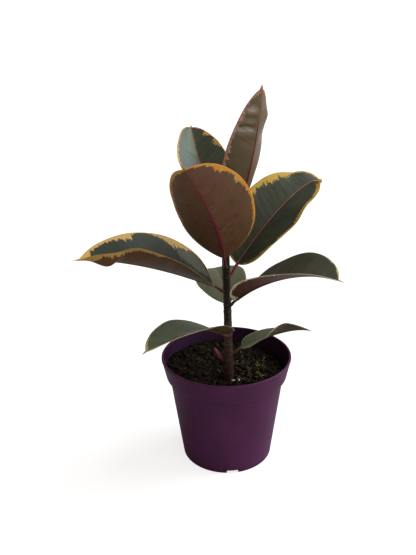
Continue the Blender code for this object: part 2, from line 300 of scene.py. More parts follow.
# %% [markdown]
# ## The leaves
# A rubber plant's leaf is a thick leathery blade on a round stalk. It is
# folded along its midrib like a shallow gutter, arches over, and twists a
# little towards the light. These are the same numbers that shaped the plain
# solids, in millimetres and degrees:
# - node and heading: how high on the stem it grows, and which way it points;
# - petiole and start: the stalk's length, and its climb where it leaves the stem;
# - rise, droop, bend: the climb where the blade starts, how far it falls
#   evenly on the way out, and how far it falls mostly near the tip;
# - sweep: how far the heading turns on the way out;
# - roll, twist: how far the blade is turned about its midrib, and how much more at the tip;
# - fold, curl: the lift of each half at the midrib, and how much more at the margin;
# - length, width, then where it is widest as a share, and how full its outline is.

# %% Leaf shapes
LEAF_COLUMNS = ("node", "heading", "petiole", "start", "rise", "droop", "bend", "sweep",
                "roll", "twist", "fold", "curl", "length", "width", "widest", "full")
LEAF_ROWS = {
    "leaf_top": (282, 329, 16, 31, 73, -11, -4, -2, -17, 0, 22, 11, 105, 56, 0.29, 1.54),
    "leaf_back_left": (279, 116, 16, 36, 20, -29, 4, -17, -18, 29, 28, 6, 120, 62, 0.39, 1.8),
    "leaf_front": (223, 261, 16, 62, 52, 1, 6, -31, 9, 19, 20, 22, 135, 85, 0.42, 1.8),
    "leaf_right_upper": (211, 34, 14, 62, 47, 34, 26, 19, 10, 2, 25, 8, 161, 77, 0.35, 1.6),
    "leaf_left_long": (197, 208, 13, 54, 29, 13, 5, 17, -28, 41, 29, 5, 160, 80, 0.46, 1.13),
    "leaf_right_mid": (182, -49, 10, 58, 42, 34, 25, 22, 3, -3, 21, 3, 131, 73, 0.57, 1.6),
    "leaf_back_lower": (174, 94, 10, 20, 19, 38, -9, 4, -3, -4, 11, -8, 107, 58, 0.54, 1.9),
    "leaf_left_low": (148, 244, 12, 35, 36, 41, 8, -17, -1, 7, 11, 1, 132, 53, 0.43, 1.42),
    "leaf_right_low": (126, -4, 10, 58, 29, 8, 25, -26, -2, -17, 10, 0, 82, 43, 0.42, 2.2),
}
LEAVES = {name: dict(zip(LEAF_COLUMNS, row)) for name, row in LEAF_ROWS.items()}
GAP = 0.3 * MM                          # clearance between pieces that touch
PETIOLE_RADIUS = 1.9 * MM
BLADE_THICKNESS = 0.9 * MM
RIB_RADIUS = 1.5 * MM
TIP_LENGTH = 0.045                      # share of the blade that is the drip tip
OUTLINE_POWER = 2.2                     # squareness of the outline along the blade
STEM_PATH = [(2, -15, 62), (2, -15, 98), (2, -14.8, 122), (2, -14.5, 145), (1, -14, 190),
             (0, -13, 232), (1, -12, 255), (4, -11, 276), (5.6, -10.5, 287)]
STEM_RADII = [4.6, 4.9, 4.4, 3.7, 3.5, 3.4, 3.2, 3.0, 2.6]


def read_line(where, knots, points):
    """Points read off a line that has these points at these knots."""
    return np.stack([np.interp(where, knots, points[:, axis]) for axis in range(3)], -1)


def stem_at(height):
    """Centre and radius of the stem at one height or many, from its path."""
    path = np.array(STEM_PATH) * MM
    radius = np.interp(height, path[:, 2], np.array(STEM_RADII) * MM)
    return read_line(height, path[:, 2], path), radius


def direction(climb, heading):
    """Unit vectors from climbs and headings in degrees."""
    climb, heading = np.radians(climb), np.radians(heading)
    flat = np.cos(climb)
    return np.stack([flat * np.cos(heading), flat * np.sin(heading), np.sin(climb)], -1)


def walk(begin, length, share, climb_and_heading, steps):
    """Points at shares of a line: the running sum of small equal steps from its beginning.

    climb_and_heading gives both angles at a share, and is read at the middle of each step.
    """
    middle = (np.arange(steps) + 0.5) / steps
    step = direction(*climb_and_heading(middle)) * length * MM / steps
    run = np.vstack([np.zeros(3), np.cumsum(step, 0)])
    return begin + read_line(share, np.linspace(0, 1, steps + 1), run)


def cross_frame(climb, heading, roll):
    """Sideways and upward unit vectors round a line, turned about it by roll."""
    ahead, turn = direction(climb, heading), np.radians(heading)
    flat = np.stack([-np.sin(turn), np.cos(turn), np.zeros_like(turn)], -1)
    rising = np.cross(ahead, flat)
    roll = np.radians(roll)[..., None]
    return flat * np.cos(roll) + rising * np.sin(roll), rising * np.cos(roll) - flat * np.sin(roll)


def stalk_line(leaf, share):
    """Points of the petiole at shares of its length, with both unit vectors.

    It leaves the stem at the start angle and turns evenly to the blade's rise.
    """
    def angles(at):
        climb = leaf["start"] + (leaf["rise"] - leaf["start"]) * at
        return climb, np.full_like(climb, leaf["heading"])

    centre, radius = stem_at(leaf["node"] * MM)
    lean = math.sin(math.radians(leaf["start"])) * PETIOLE_RADIUS
    begin = centre + direction(0, leaf["heading"]) * (radius + GAP + lean)
    line = walk(begin, leaf["petiole"], share, angles, 4)
    return line, *cross_frame(*angles(share), leaf["roll"] * share)


def midline(leaf, along):
    """Points of the midrib at shares of its length, with both unit vectors.

    It starts where the petiole ends. The climb falls evenly by droop, and by bend
    as the fourth power of the share. The heading turns evenly by sweep.
    """
    def angles(at):
        climb = leaf["rise"] - leaf["droop"] * at - leaf["bend"] * at ** 4
        return climb, leaf["heading"] + leaf["sweep"] * at

    begin = stalk_line(leaf, np.ones(1))[0][0]
    line = walk(begin, leaf["length"], along, angles, 800)
    return line, *cross_frame(*angles(along), leaf["roll"] + leaf["twist"] * along)


def outline(along, widest, full, broad, spur, drip_length):
    """Half width as a share of the greatest: a blunt lens, and a narrow drip tip.

    The lens is (1 - |2 s - 1| ** power) ** (1 / full), where s is the share along,
    warped so that a half falls at the widest place. broad scales one half of a leaf.
    """
    skew = math.log(0.5) / math.log(widest)
    spot = np.clip(along / (1 - drip_length), 0, 1) ** skew
    body = np.clip(1 - np.abs(2 * spot - 1) ** OUTLINE_POWER, 0, 1) ** (1 / full)
    drip = spur * (1 - along) * along ** 6
    return broad * np.sqrt(body ** 2 + drip ** 2)


print(len(LEAVES), "leaves, the longest", max(leaf["length"] for leaf in LEAVES.values()), "mm")

# %% [markdown]
# ## Where the green gives way
# The variegation starts at the margin and runs in ragged fingers along the
# side veins, and no two leaves wave or curl alike. Each leaf has its own marks.
# Left is the half on the left of someone who stands at the stem and looks
# along the leaf. Places are shares: along from 0 to 1, across from 1 at the
# left margin to -1 at the right one.
# - left, right: how wide the pale band is, in millimetres, at places along;
# - patches: grey-green islands, as along, across and their two half sizes;
# - ripple: depth in millimetres and number of waves on the left, the same on
#   the right, and how steeply the ripple fades towards the midrib;
# - dents: places pushed up or down, as along, across, two half sizes, millimetres;
# - halves: for each half its widest place, fullness and breadth;
# - lifts: for each half, extra degrees of lift at places along;
# - spur, drip, trim: how broad the drip tip is, how long, and how much of the
#   midrib's end is left out; rib: how stout the midrib is.

# %% Variegation and ripples
MARKINGS = {
    "leaf_top": dict(
        left=[(0, 1), (0.5, 0.8), (0.9, 1.2), (0.94, 5), (1, 9)],
        right=[(0, 6), (0.2, 6), (0.45, 3.2), (0.6, 2.2), (0.72, 3.4), (0.8, 2.0), (0.88, 2.2),
               (0.93, 5), (1, 9)],
        ripple=(0.3, 2.3, 0.2, 4.2, 0.7), spur=2.4, halves=((0.36, 2.4, 0.84), (0.29, 1.54, 1)),
        dents=[(0.57, -0.5, 0.04, 0.35, -1.0), (0.62, -0.5, 0.035, 0.4, 2.0),
               (0.665, -0.5, 0.03, 0.35, -1.2), (0.71, -0.5, 0.03, 0.35, 0.9),
               (0.745, -0.5, 0.03, 0.35, -0.8), (0.79, -0.45, 0.035, 0.35, 1.4),
               (0.73, 0.9, 0.06, 0.5, -1.6), (0.55, 0.9, 0.07, 0.5, 1.0)]),
    "leaf_back_left": dict(
        left=[(0, 3), (0.5, 2.4), (0.8, 1.6), (0.95, 1.2), (1, 4)],
        right=[(0, 3), (0.6, 1), (0.65, 6), (0.71, 6), (0.75, 1.2), (0.81, 1.2), (0.84, 7),
               (0.87, 3), (0.9, 1), (0.94, 3.5), (1, 6)],
        patches=[(1.0, 0.2, 0.46, 0.34)], ripple=(0.6, 2.6, 0.9, 3.0, 0.9), spur=2.0,
        trim=0.025, drip=0.03, rib=0.8),
    "leaf_front": dict(
        left=[(0, 3), (0.3, 3.2), (0.5, 2.8), (0.6, 3), (0.64, 6.6), (0.7, 3.8), (0.76, 4.6),
              (0.81, 8.0), (0.86, 3.2), (1, 3.5)],
        right=[(0, 3), (0.1, 3.4), (0.3, 3.6), (0.42, 4.2), (0.6, 3.6), (0.8, 3.2), (0.84, 4),
               (0.9, 7), (0.96, 5), (1, 5)],
        ripple=(0.35, 2.2, 0.2, 1.6, 1.2), rib=1.25, spur=0.9),
    "leaf_right_upper": dict(
        left=[(0, 4), (0.2, 5), (0.45, 8), (0.53, 8), (0.58, 10), (0.63, 11), (0.68, 9),
              (0.74, 10), (0.8, 6), (0.85, 2.6), (0.9, 2.4), (0.94, 5), (1, 7)],
        right=[(0, 7), (0.1, 6), (0.2, 4), (0.72, 3.6), (0.8, 6), (0.86, 4.5), (0.95, 5), (1, 7)],
        patches=[(0.82, -0.6, 0.04, 0.16)], ripple=(0.5, 3.2, 1.5, 2.7, 1.0),
        spur=0.3, trim=0.008, drip=0.005, rib=0.7,
        lifts=(((0, 0), (0.65, -11.4), (0.85, -18.2), (1, 7)),
               ((0, 0), (0.65, -10.4), (0.85, -13.1), (1, -7))),
        dents=[(0.83, -0.9, 0.05, 0.5, 3.5), (0.94, -0.9, 0.05, 0.6, -3.0)],
        halves=((0.45, 1.48, 1.04), (0.24, 1.125, 1.10))),
    "leaf_left_long": dict(
        left=[(0, 0.9), (0.45, 1.0), (0.55, 1.2), (0.58, 6), (0.62, 4.5), (0.68, 5.5), (0.74, 8),
              (0.8, 4.5), (0.86, 3), (0.9, 20), (1, 20)],
        right=[(0, 1.2), (0.17, 1.6), (0.27, 9), (0.36, 5.5), (0.44, 1.2), (0.52, 1.0), (0.55, 9),
               (0.6, 7), (0.68, 4), (0.8, 3.0), (0.86, 6), (0.9, 20), (1, 20)],
        patches=[(0.14, -0.66, 0.13, 0.26)], ripple=(0.5, 1.7, 0.5, 2.3, 1.4), spur=1.6,
        dents=[(0.81, 0.4, 0.06, 0.5, -7.5), (0.71, 0.85, 0.08, 0.4, 3.0)],
        halves=((0.46, 1.13, 1), (0.44, 0.98, 1.06))),
    "leaf_right_mid": dict(
        left=[(0, 0.8), (0.7, 0.7), (0.8, 0.9), (0.85, 2.8), (0.88, 0.8), (0.92, 3.2), (1, 6)],
        right=[(0, 9), (0.08, 9), (0.13, 3), (0.3, 3.6), (0.5, 3.4), (0.6, 4.6), (0.7, 2.6),
               (0.8, 3.2), (0.93, 4), (1, 6)],
        ripple=(0.6, 2.4, 0.5, 2.0, 1.1), spur=1.3, trim=0.012),
    "leaf_back_lower": dict(
        left=[(0, 1.2)], right=[(0, 1.2)], ripple=(0.4, 2.4, 0.4, 2.2, 1.3), spur=0.9,
        patches=[(0.4, 0.7, 0.10, 0.16), (0.2, -0.6, 0.1, 0.2)]),
    "leaf_left_low": dict(
        left=[(0, 1.1), (0.8, 1.3), (1, 5)], right=[(0, 0.9), (0.8, 1.0), (0.9, 2.6), (1, 5)],
        ripple=(0.4, 2.4, 0.4, 2.1, 1.3), spur=1.6,
        lifts=(((0, 1), (0.15, 3), (0.35, 7), (0.6, 7), (1, 5)), ((0, 0),))),
    "leaf_right_low": dict(
        left=[(0, 1.5), (0.9, 1.3), (1, 2)], right=[(0, 1.5), (0.9, 1.3), (1, 2)],
        ripple=(0.5, 1.8, 0.5, 1.5, 1.2), spur=0.9, halves=((0.24, 1.1, 1), (0.42, 1.1, 1)),
        lifts=(((0, 0),), ((0, 0), (0.45, 0), (0.7, 34), (1, 30)))),
}
print("pale bands at", sum(len(m["left"]) + len(m["right"]) for m in MARKINGS.values()), "places")

# %% [markdown]
# ## The blade as a function
# A blade is a ring that runs over the top and back underneath, carried along
# the midrib. A point's share across sets how far out it lies and how much
# its half is lifted. The two faces keep a leathery thickness that fades
# towards the margin. The top has a shallow groove over the midrib, and each
# half ripples gently, most at its edge. Facts ride on each point for the
# materials: its place in millimetres with its distance to the margin, how
# wide the pale band is there, and how high the ripple stands.

# %% Blade surface
BLADE_RINGS, HALF_COLUMNS = 150, 26
FOLD_ROUNDING = 1.2 * MM                # of the fold at the midrib
GROOVE_DEPTH, GROOVE_WIDTH = 0.35 * MM, 0.9 * MM
LEAST_HALF = 0.25 * MM                  # half width where the blade runs out


def patch_field(along, across, patches):
    """How deep a point lies in the nearest island: 1 at its middle, 0 at its rim, then below."""
    field = np.full(np.broadcast(along, across).shape, -1.0)
    for centre, side, reach, breadth in patches:
        away = ((along - centre) / reach) ** 2 + ((across - side) / breadth) ** 2
        field = np.maximum(field, 1 - away)
    return field


def ripple_height(marks, along, across, phase):
    """Waves along each half, faded at both ends and towards the midrib, plus bell-shaped dents."""
    left, share = across > 0, np.abs(across)
    depth_left, count_left, depth_right, count_right, steepness = marks["ripple"]
    turns = 2 * np.pi * np.where(left, count_left, count_right) * along - 0.9 * share
    wave = np.sin(turns + np.where(left, *phase) * 3)
    fine = 0.18 * np.sin(1.9 * turns + 2.5 * share + phase[1])
    fade = np.clip(along * 6, 0, 1) * np.clip((1 - along) * 8, 0, 1)
    height = np.where(left, depth_left, depth_right) * fade * share ** steepness * (wave + fine)
    for spot, aside, reach, breadth, push in marks.get("dents", []):
        away = ((along - spot) / reach) ** 2 + ((across - aside) / breadth) ** 2
        height = height + push * np.exp(-away)
    return height * MM


def blade_rings(leaf, marks, seed):
    """Ring points of a blade, with their facts and which quads lie underneath.

    Sideways distance is the share across times the half width. The lift angle is
    the fold, plus the half's own lift there, plus half the curl times that share.
    Point = midrib + side * cos(lift) * distance + up * sin(lift) * distance, and
    then along the face's normal by the ripple and half the thickness.
    """
    even = np.linspace(0, 1, BLADE_RINGS)
    along = (0.35 * even + 0.65 * (0.5 - 0.5 * np.cos(np.pi * even)))[:, None]
    edge = np.linspace(0, 1, HALF_COLUMNS + 1)
    edge = 0.45 * edge + 0.55 * np.sin(edge * np.pi / 2)
    top = np.concatenate([edge[::-1], -edge[1:]])
    across = np.concatenate([top, top[-2:0:-1]])[None]
    under = np.concatenate([np.zeros(len(top)), np.ones(len(top) - 2)])[None]
    left, sign, share = across > 0, np.sign(across), np.abs(across)

    kept = along[:, 0] * (1 - marks.get("trim", 0))
    line, side, rising = (part[:, None] for part in midline(leaf, kept))
    phase = np.array([0.3, 2.1]) + seed
    wobble = np.sin(np.where(left, 9, 8) * np.pi * along + np.where(left, *phase))
    shapes = marks.get("halves", ((leaf["widest"], leaf["full"], 1),) * 2)
    tip = marks["spur"], marks.get("drip", TIP_LENGTH)
    half = np.where(left, *(outline(along, *shape, *tip) for shape in shapes))
    half = np.maximum(half * leaf["width"] / 2 * MM * (1 + 0.004 * wobble), LEAST_HALF)
    out = share * half

    lifts = [np.interp(along, *zip(*steps)) for steps in marks.get("lifts", (((0, 0),),) * 2)]
    lift = np.radians(leaf["fold"] + np.where(left, *lifts) + leaf["curl"] * share / 2)
    rise = (np.sqrt(out ** 2 + FOLD_ROUNDING ** 2) - FOLD_ROUNDING) * np.sin(lift)
    ripple = ripple_height(marks, along, across, phase)
    groove = -GROOVE_DEPTH * np.exp(-(out / GROOVE_WIDTH) ** 2) * np.clip(half / (6 * MM), 0, 1)
    body = BLADE_THICKNESS / 2 * np.sqrt(np.clip(1 - share ** 5, 0, 1))
    body = body * np.clip(half / (2 * MM), 0.4, 1)
    normal = rising * np.cos(lift)[..., None] - side * (sign * np.sin(lift))[..., None]
    height = ripple + np.where(under > 0, -body, body + groove)
    points = (line + side * (sign * out * np.cos(lift))[..., None]
              + rising * rise[..., None] + normal * height[..., None])

    bands = (np.interp(along, *zip(*marks[which])) for which in ("left", "right"))
    grey = patch_field(along, across, marks.get("patches", []))
    reach = along * leaf["length"] + 0 * across
    facts = {
        "leaf_place": np.stack([across * half / MM, reach, (1 - share) * half / MM], -1),
        "leaf_marks": np.stack([np.where(left, *bands), grey, along + 0 * across], -1),
        "leaf_crest": ripple / MM,
    }
    return points, facts, np.roll(under, -1, axis=1)[0] + under[0] > 0


print("blade grid", blade_rings(LEAVES["leaf_front"], MARKINGS["leaf_front"], 0.0)[0].shape[:2])

# %% [markdown]
# ## Leaf skin, waxed above and matt below
# The upper skin of a rubber leaf is near-black green under a thin wax, so it
# throws a soft sheen. The pale bands have no green at all. The underside is
# matt, and on the young leaves it is maroon, with close side veins that stand
# out. Both skins share one idea: slide the place of each point back along
# its side vein, and any noise that is read there runs out to the margin in
# streaks. Comparing such a streaky value with the distance to the margin
# gives ragged fingers. All sizes in these skins are millimetres.

# %% Leaf skins
VEIN_SLANT = 0.42                       # how far a side vein climbs for each step outwards
VEIN_PITCH = 3.2                        # millimetres between neighbouring side veins
FINGER_PITCH = 2.6                      # millimetres between fingers of the pale band
CREASE_SHADE, CREST_HIGHLIGHT = "#2c1d14", "#a8a294"     # painted shade of a fine crease, and a painted highlight on a silky crest


def leaf_coordinates(made, seed):
    """The sockets that both skins of a leaf read.

    The vein number of a point is its place along less the slant times its distance
    from the midrib, so it is the same all the way out along one side vein.
    """
    spot = fact(made, "leaf_place", "Vector")
    across, along, margin = parts(spot)
    band, grey, share = parts(fact(made, "leaf_marks", "Vector"))
    out = maths("ABSOLUTE", across)
    bow = times(maths("POWER", times(out, 1 / 30), 2.0), 3.0)
    vein = maths("SUBTRACT", along, maths("MULTIPLY_ADD", out, VEIN_SLANT, bow))
    half = scaled(maths("SIGN", across), 40.0, seed)
    streak = node("CombineXYZ", X=vein, Y=times(out, 0.12), Z=half).outputs[0]
    return SimpleNamespace(across=across, margin=margin, band=band, grey=grey, share=share, out=out,
                           vein=vein, streak=streak, spot=spot, crest=fact(made, "leaf_crest"))


def pale_mask(at, least):
    """1 on the pale band, with fingers: the margin's distance against a streaky band width."""
    fingers = scaled(noise(at.streak, FINGER_PITCH, 3.0, 0.62), 2.9, least)
    coarse = scaled(noise(at.streak, 9.0, 1.0), 0.9, 0.55)
    return ramp(maths("SUBTRACT", times(at.band, fingers, coarse), at.margin), -0.12, 0.22)


def vein_lines(at, sharp):
    """Thin lines along the side veins, from 0 between them to 1 on each."""
    number = maths("MULTIPLY_ADD", noise(at.streak, 12.0, 1.0), 2.2, times(at.vein, 1 / VEIN_PITCH))
    wave = maths("ABSOLUTE", maths("SUBTRACT", maths("FRACT", number), 0.5))
    return ramp(times(wave, 2.0), sharp, 1.0)


def leaf_upper(name, deep, sheen, grey, pale, rim, rib, seed, painted_sheen=None, veins=0.07):
    """Waxed upper skin of a living leaf: dark green, streaky pale band, tinted rim and midrib."""
    made = new_material(name)
    at = leaf_coordinates(made, seed)
    streaks = noise(at.streak, 3.4, 4.0, 0.6)
    colour = blend(ramp(streaks, 0.2, 0.85), deep, sheen)
    colour = paint(colour, sheen, ramp(noise(at.spot, 22.0), 0.45, 0.75), 0.5)
    if painted_sheen:                           # a painted bluish sheen, on its left half
        colour = paint(colour, painted_sheen, ramp(at.across, 0.0, 16.0), ramp(streaks, -0.4, 0.9))
    lines = vein_lines(at, 0.82)
    colour = paint(colour, grey, lines, veins)
    ragged = noise(at.streak, 1.4 * FINGER_PITCH, 3.0, 0.6)
    island = maths("ADD", at.grey, scaled(ragged, 2.4, -1.2))
    colour = paint(colour, grey, ramp(island, -0.1, 0.3), 0.7)
    halo = ramp(maths("SUBTRACT", times(at.band, 1.25), at.margin), -1.5, 1.5)
    colour = paint(colour, grey, halo, ramp(ragged, 0.48, 0.6), 0.55)
    band = blend(0.75, blend(ramp(noise(at.streak, 5.0, 3.0), 0.4, 0.7), pale, rim), pale)
    mottled = ramp(noise(at.streak, 1.3, 4.0, 0.7), 0.62, 0.75)
    colour = paint(colour, band, pale_mask(at, -0.48), scaled(mottled, -0.45, 1.0))
    colour = paint(colour, rim, ramp(at.margin, 0.75, 0.15))
    colour = paint(colour, rib, ramp(at.out, 0.75, 0.3), 0.9)
    speck = noise(at.spot, 0.8)
    relief = bump(noise(at.streak, 2.4, 3.0), 0.18 * MM, bump(lines, -0.09 * MM))
    return finish(made, Base_Color=specked(colour, speck, 0.18), IOR=1.4, Specular_IOR_Level=0.16,
                  Roughness=scaled(noise(at.spot, 6.0, 3.0), 0.22, 0.3),
                  Normal=bump(speck, 0.03 * MM, relief))


def leaf_under(name, deep, warm, vein_tint, blush, pale, rim, seed, veins=0.3, gloss=0.46,
               coat_and_crest_highlight=0.0, hem=0.8, tip=None, crease_shade=0.0):
    """Matt underside of a leaf: maroon or grey, close raised side veins, and a tinted hem."""
    made = new_material(name)
    at = leaf_coordinates(made, seed)
    streaks = noise(at.streak, 4.5, 4.0, 0.6)
    towards_tip = maths("ADD", times(noise(at.spot, 30.0), 0.6), times(at.share, 0.6))
    colour = blend(ramp(towards_tip, 0.3, 0.8), deep, warm)
    colour = paint(colour, vein_tint, ramp(streaks, 0.5, 0.72), 0.35)
    flush = ramp(noise(at.streak, 11.0, 3.0), 0.42, 0.68)
    colour = paint(colour, blush, flush, ramp(at.out, 30.0, 6.0), 0.6)
    seen = ramp(noise(at.spot, 14.0, 3.0), 0.38, 0.66)
    lines = times(vein_lines(at, 0.62), scaled(seen, 0.8, 0.2))
    colour = paint(colour, vein_tint, lines, veins)
    # Painted shade: dark fine lines where the skin is creased.
    if crease_shade:
        here = ramp(noise(at.spot, 32.0), 0.3, 0.65)
        colour = paint(colour, CREASE_SHADE, ramp(noise(at.streak, 1.0), 0.52, 0.6), here, crease_shade)
    band = blend(ramp(noise(at.streak, 6.0), 0.42, 0.66), pale, rim)
    colour = paint(colour, band, pale_mask(at, -0.528))
    colour = paint(colour, rim, ramp(at.margin, hem, 0.2 * hem))
    if tip:
        colour = paint(colour, tip, ramp(at.share, 0.9, 0.98), 0.85)
    # Painted highlight: a pale tint on the ripple crests. The same number also sets the real coat.
    if coat_and_crest_highlight:
        colour = paint(colour, CREST_HIGHLIGHT, ramp(at.crest, 0.0, 1.4), ramp(streaks, 0.1, 0.7), coat_and_crest_highlight)
    speck = noise(at.spot, 0.7)
    relief = bump(noise(at.streak, 5.0, 3.0), 0.3 * MM, bump(lines, 0.08 * MM))
    return finish(made, Base_Color=specked(colour, speck, 0.15), IOR=1.4, Specular_IOR_Level=0.2,
                  Roughness=scaled(noise(at.spot, 8.0), 0.2, gloss - 0.1),
                  Normal=bump(speck, 0.03 * MM, relief), Coat_Weight=0.3 * coat_and_crest_highlight, Coat_Roughness=0.3)


# Above: deep, sheen, grey, pale, rim, rib. Below: deep, warm, vein, blush, pale, rim.
MAROON = "#37281a #4a332a #6e5344 #5a3230 #b98f42 #b87a2e"
FINISHES = {
    "leaf_top": (
        "#39402f #4c4f3c #6d6a55 #a98a68 #9c6450 #94504a", {},
        "#5c4f38 #6e5e45 #857961 #65513d #b98f76 #9c6450",
        dict(veins=0.12, gloss=0.32, coat_and_crest_highlight=1.0, tip="#8f4446")),
    "leaf_back_left": (
        "#42483c #54594b #6f7763 #cf9c58 #c08a48 #8c4f4c", dict(painted_sheen="#66756f"), MAROON, {}),
    "leaf_front": (
        "#2f3529 #454a3c #7b7c64 #cfae55 #c58c33 #a0605a", {},
        "#6d5137 #6d513d #6e5344 #704536 #c59d4a #cc842f", dict(crease_shade=0.5, hem=2.6)),
    "leaf_right_upper": (
        "#2f3429 #444839 #6a664c #b89a40 #b5852f #a06a5c", {}, MAROON, {}),
    "leaf_left_long": (
        "#272d23 #393e31 #606252 #c2a05c #bb9350 #9a7a5c", {},
        "#46311e #5e4129 #6e5344 #623b28 #b3904a #b08a48", dict(veins=0.12)),
    "leaf_right_mid": (
        "#3b4033 #4f5140 #5c5f4a #c4b088 #a99a70 #4c4f3c", {},
        "#52362e #5a3731 #6e5344 #5f332f #b0a064 #efe3bd", dict(veins=0.15, hem=1.9)),
    "leaf_back_lower": (
        "#585c45 #6b6f55 #7b7b60 #8f8b68 #8f8968 #85846a", {},
        "#50523d #5a5b45 #6f6e5a #5a5b45 #8f8b68 #8f8968", {}),
    "leaf_left_low": (
        "#3e4837 #545a45 #5f634c #a3946e #b8a680 #6a6c50", dict(veins=0.2),
        "#4a3a2a #5b4634 #6f5f4c #5b4634 #a3946e #a8946c", {}),
    "leaf_right_low": (
        "#505a41 #696e53 #6c7053 #b8ad88 #b0a27e #857f5c", dict(veins=0.3),
        "#433b2c #504636 #655b46 #504636 #b8ad88 #b0a27e", {}),
}
print(2 * len(FINISHES), "leaf skins to make")

# %% [markdown]
# ## Stalk and midrib
# The stalk runs on into the midrib, which stands out under the blade as a
# round ridge and thins to nothing at the tip. On a young leaf it is crimson.
# It is one tapered tube along the petiole and the midrib. Its ring is
# flattened on top, and from the blade on it sinks until half of it is inside.

# %% Midrib tube and its skin
RIB_SIDES = 18
RIB_END = 0.965                         # share of the blade where the tube ends
SMALL_LEAF = 110                        # a leaf shorter than this has a slimmer midrib


def rib_rings(leaf, marks):
    """Ring points of the petiole and midrib: centre + radius * (cos * side + sin * up)."""
    end = RIB_END * (1 - marks.get("trim", 0))
    share, along = np.linspace(0, 1, 26), np.linspace(0, end, 90)[1:]
    both = zip(stalk_line(leaf, share), midline(leaf, along))
    line, side, rising = (np.concatenate(pair) for pair in both)
    root = stem_at(leaf["node"] * MM - 1.2 * MM)[0]
    ease = np.clip(1 - np.arange(len(line)) / 7, 0, 1)[:, None] ** 2
    line = line + (root - line[0]) * 0.75 * ease
    collar = 0.9 * np.exp(-(share / 0.16) ** 2) + 0.2 * np.exp(-((share - 1) / 0.2) ** 2)
    slim = 0.7525 if leaf["length"] < SMALL_LEAF else 1.0
    stout = 1 + (marks.get("rib", 1) - 1) * np.clip(along * 12, 0, 1)
    taper = (0.16 + 0.92 * (1 - along) ** 1.25) * slim * stout
    stalk_radius = PETIOLE_RADIUS * (0.94 - 0.14 * share + collar * 0.4)
    radius = np.concatenate([stalk_radius, RIB_RADIUS * taper])
    sink = np.clip(along * 25, 0, 1) * (0.30 * radius[len(share):] + 0.1 * MM)
    line = line - rising * np.concatenate([np.zeros(len(share)), sink])[:, None]
    turn = ring_turns(RIB_SIDES)
    high = np.sin(turn) * (1 - 0.25 * np.clip(np.sin(turn), 0, 1) ** 2)
    ring = side[:, None] * np.cos(turn)[None, :, None] + rising[:, None] * high[None, :, None]
    rings = line[:, None] + ring * radius[:, None, None]
    reach = np.concatenate([share - 1, along])[:, None]
    return rings, {"rib_place": np.broadcast_to(reach, rings.shape[:2])}


def rib_skin(name, stalk, middle, tip):
    """Smooth petiole skin: one tint at the stem, one at the blade, one at the tip, faint ridges."""
    made = new_material(name)
    share, spot = fact(made, "rib_place"), own_place(made)
    mottle = noise(spot, 2.5 * MM, 3.0)
    colour = blend(ramp(share, -0.7, 0.2), stalk, middle)
    colour = paint(colour, tip, ramp(share, 0.45, 1.0))
    colour = paint(colour, tip, ramp(mottle, 0.5, 0.7), 0.35)
    ridges = bump(noise(spot, 0.7 * MM), 0.05 * MM)
    return finish(made, Base_Color=colour, Roughness=scaled(mottle, 0.2, 0.3), Normal=ridges,
                  IOR=1.42, Coat_Weight=0.1, Coat_Roughness=0.3)


RIB_TINTS = {                           # at the stem, at the blade, at the tip
    "leaf_top": "#7a2c33 #7d2f33 #a34f48", "leaf_back_left": "#7a2c33 #8a3d40 #a35f5a",
    "leaf_front": "#561a22 #6f1f2c #8a3033", "leaf_right_upper": "#71202a #93454a #a8746a",
    "leaf_left_long": "#5c262a #5e3a30 #4d3a2c", "leaf_right_mid": "#501c1f #4c2a26 #5a4638",
    "leaf_back_lower": "#5a3a2c #6a6548 #8b8a6d", "leaf_left_low": "#5d2226 #5d4033 #6f664d",
    "leaf_right_low": "#46302a #5b5240 #7a7055",
}
print("midrib rings", rib_rings(LEAVES["leaf_front"], MARKINGS["leaf_front"])[0].shape[:2])

# %% Make the leaves
for number, (name, leaf) in enumerate(LEAVES.items()):
    above_tints, above_extra, below_tints, below_extra = FINISHES[name]
    points, facts, beneath = blade_rings(leaf, MARKINGS[name], 0.7 * number)
    seed = 11.0 * number
    skins = [leaf_upper(f"{name}_waxed_skin", *above_tints.split(), seed, **above_extra),
             leaf_under(f"{name}_underside", *below_tints.split(), seed, **below_extra)]
    blade = skin(name + "_blade", points, skins, beneath.astype(int), facts)
    place(blade, "leaf_upper", name)
    rings, rib_facts = rib_rings(leaf, MARKINGS[name])
    tube = rib_skin(f"{name}_midrib_skin", *RIB_TINTS[name].split())
    place(skin(name + "_midrib", rings, [tube], facts=rib_facts), "leaf_rib", name)
    low, high = (np.array(corner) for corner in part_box(name))
    both = np.concatenate([points.reshape(-1, 3), rings.reshape(-1, 3)])
    drift = max(np.abs(both.min(0) - low).max(), np.abs(both.max(0) - high).max())
    print(f"{name}: {drift / MM:.1f} mm off its solid's box")

# %% [markdown]
# ## The stem
# The lower stem has turned to thin brown bark. Above that it is still green,
# nearly black. Every leaf that has grown left a ring round the stem, so the
# radius swells a little at each node and has a fine groove on either side of it.
# The centre line is the path of the solid, smoothed so that it has no corners.

# %% Stem
STEM_RINGS, STEM_SIDES = 420, 40
OLD_NODES = np.array([104, 112, 137, 161, 240, 256, 270]) * MM
BARK_THICKNESS = 0.5 * MM               # how far the fine skin stands outside the solid
BARK_TOP = (166 * MM, 186 * MM)         # heights between which bark gives way to green


def bells(away, centre, breadth):
    """The sum of a bell curve at a distance from every node: exp(-(distance / breadth) squared)."""
    return np.exp(-((away - centre) / breadth) ** 2).sum(1)


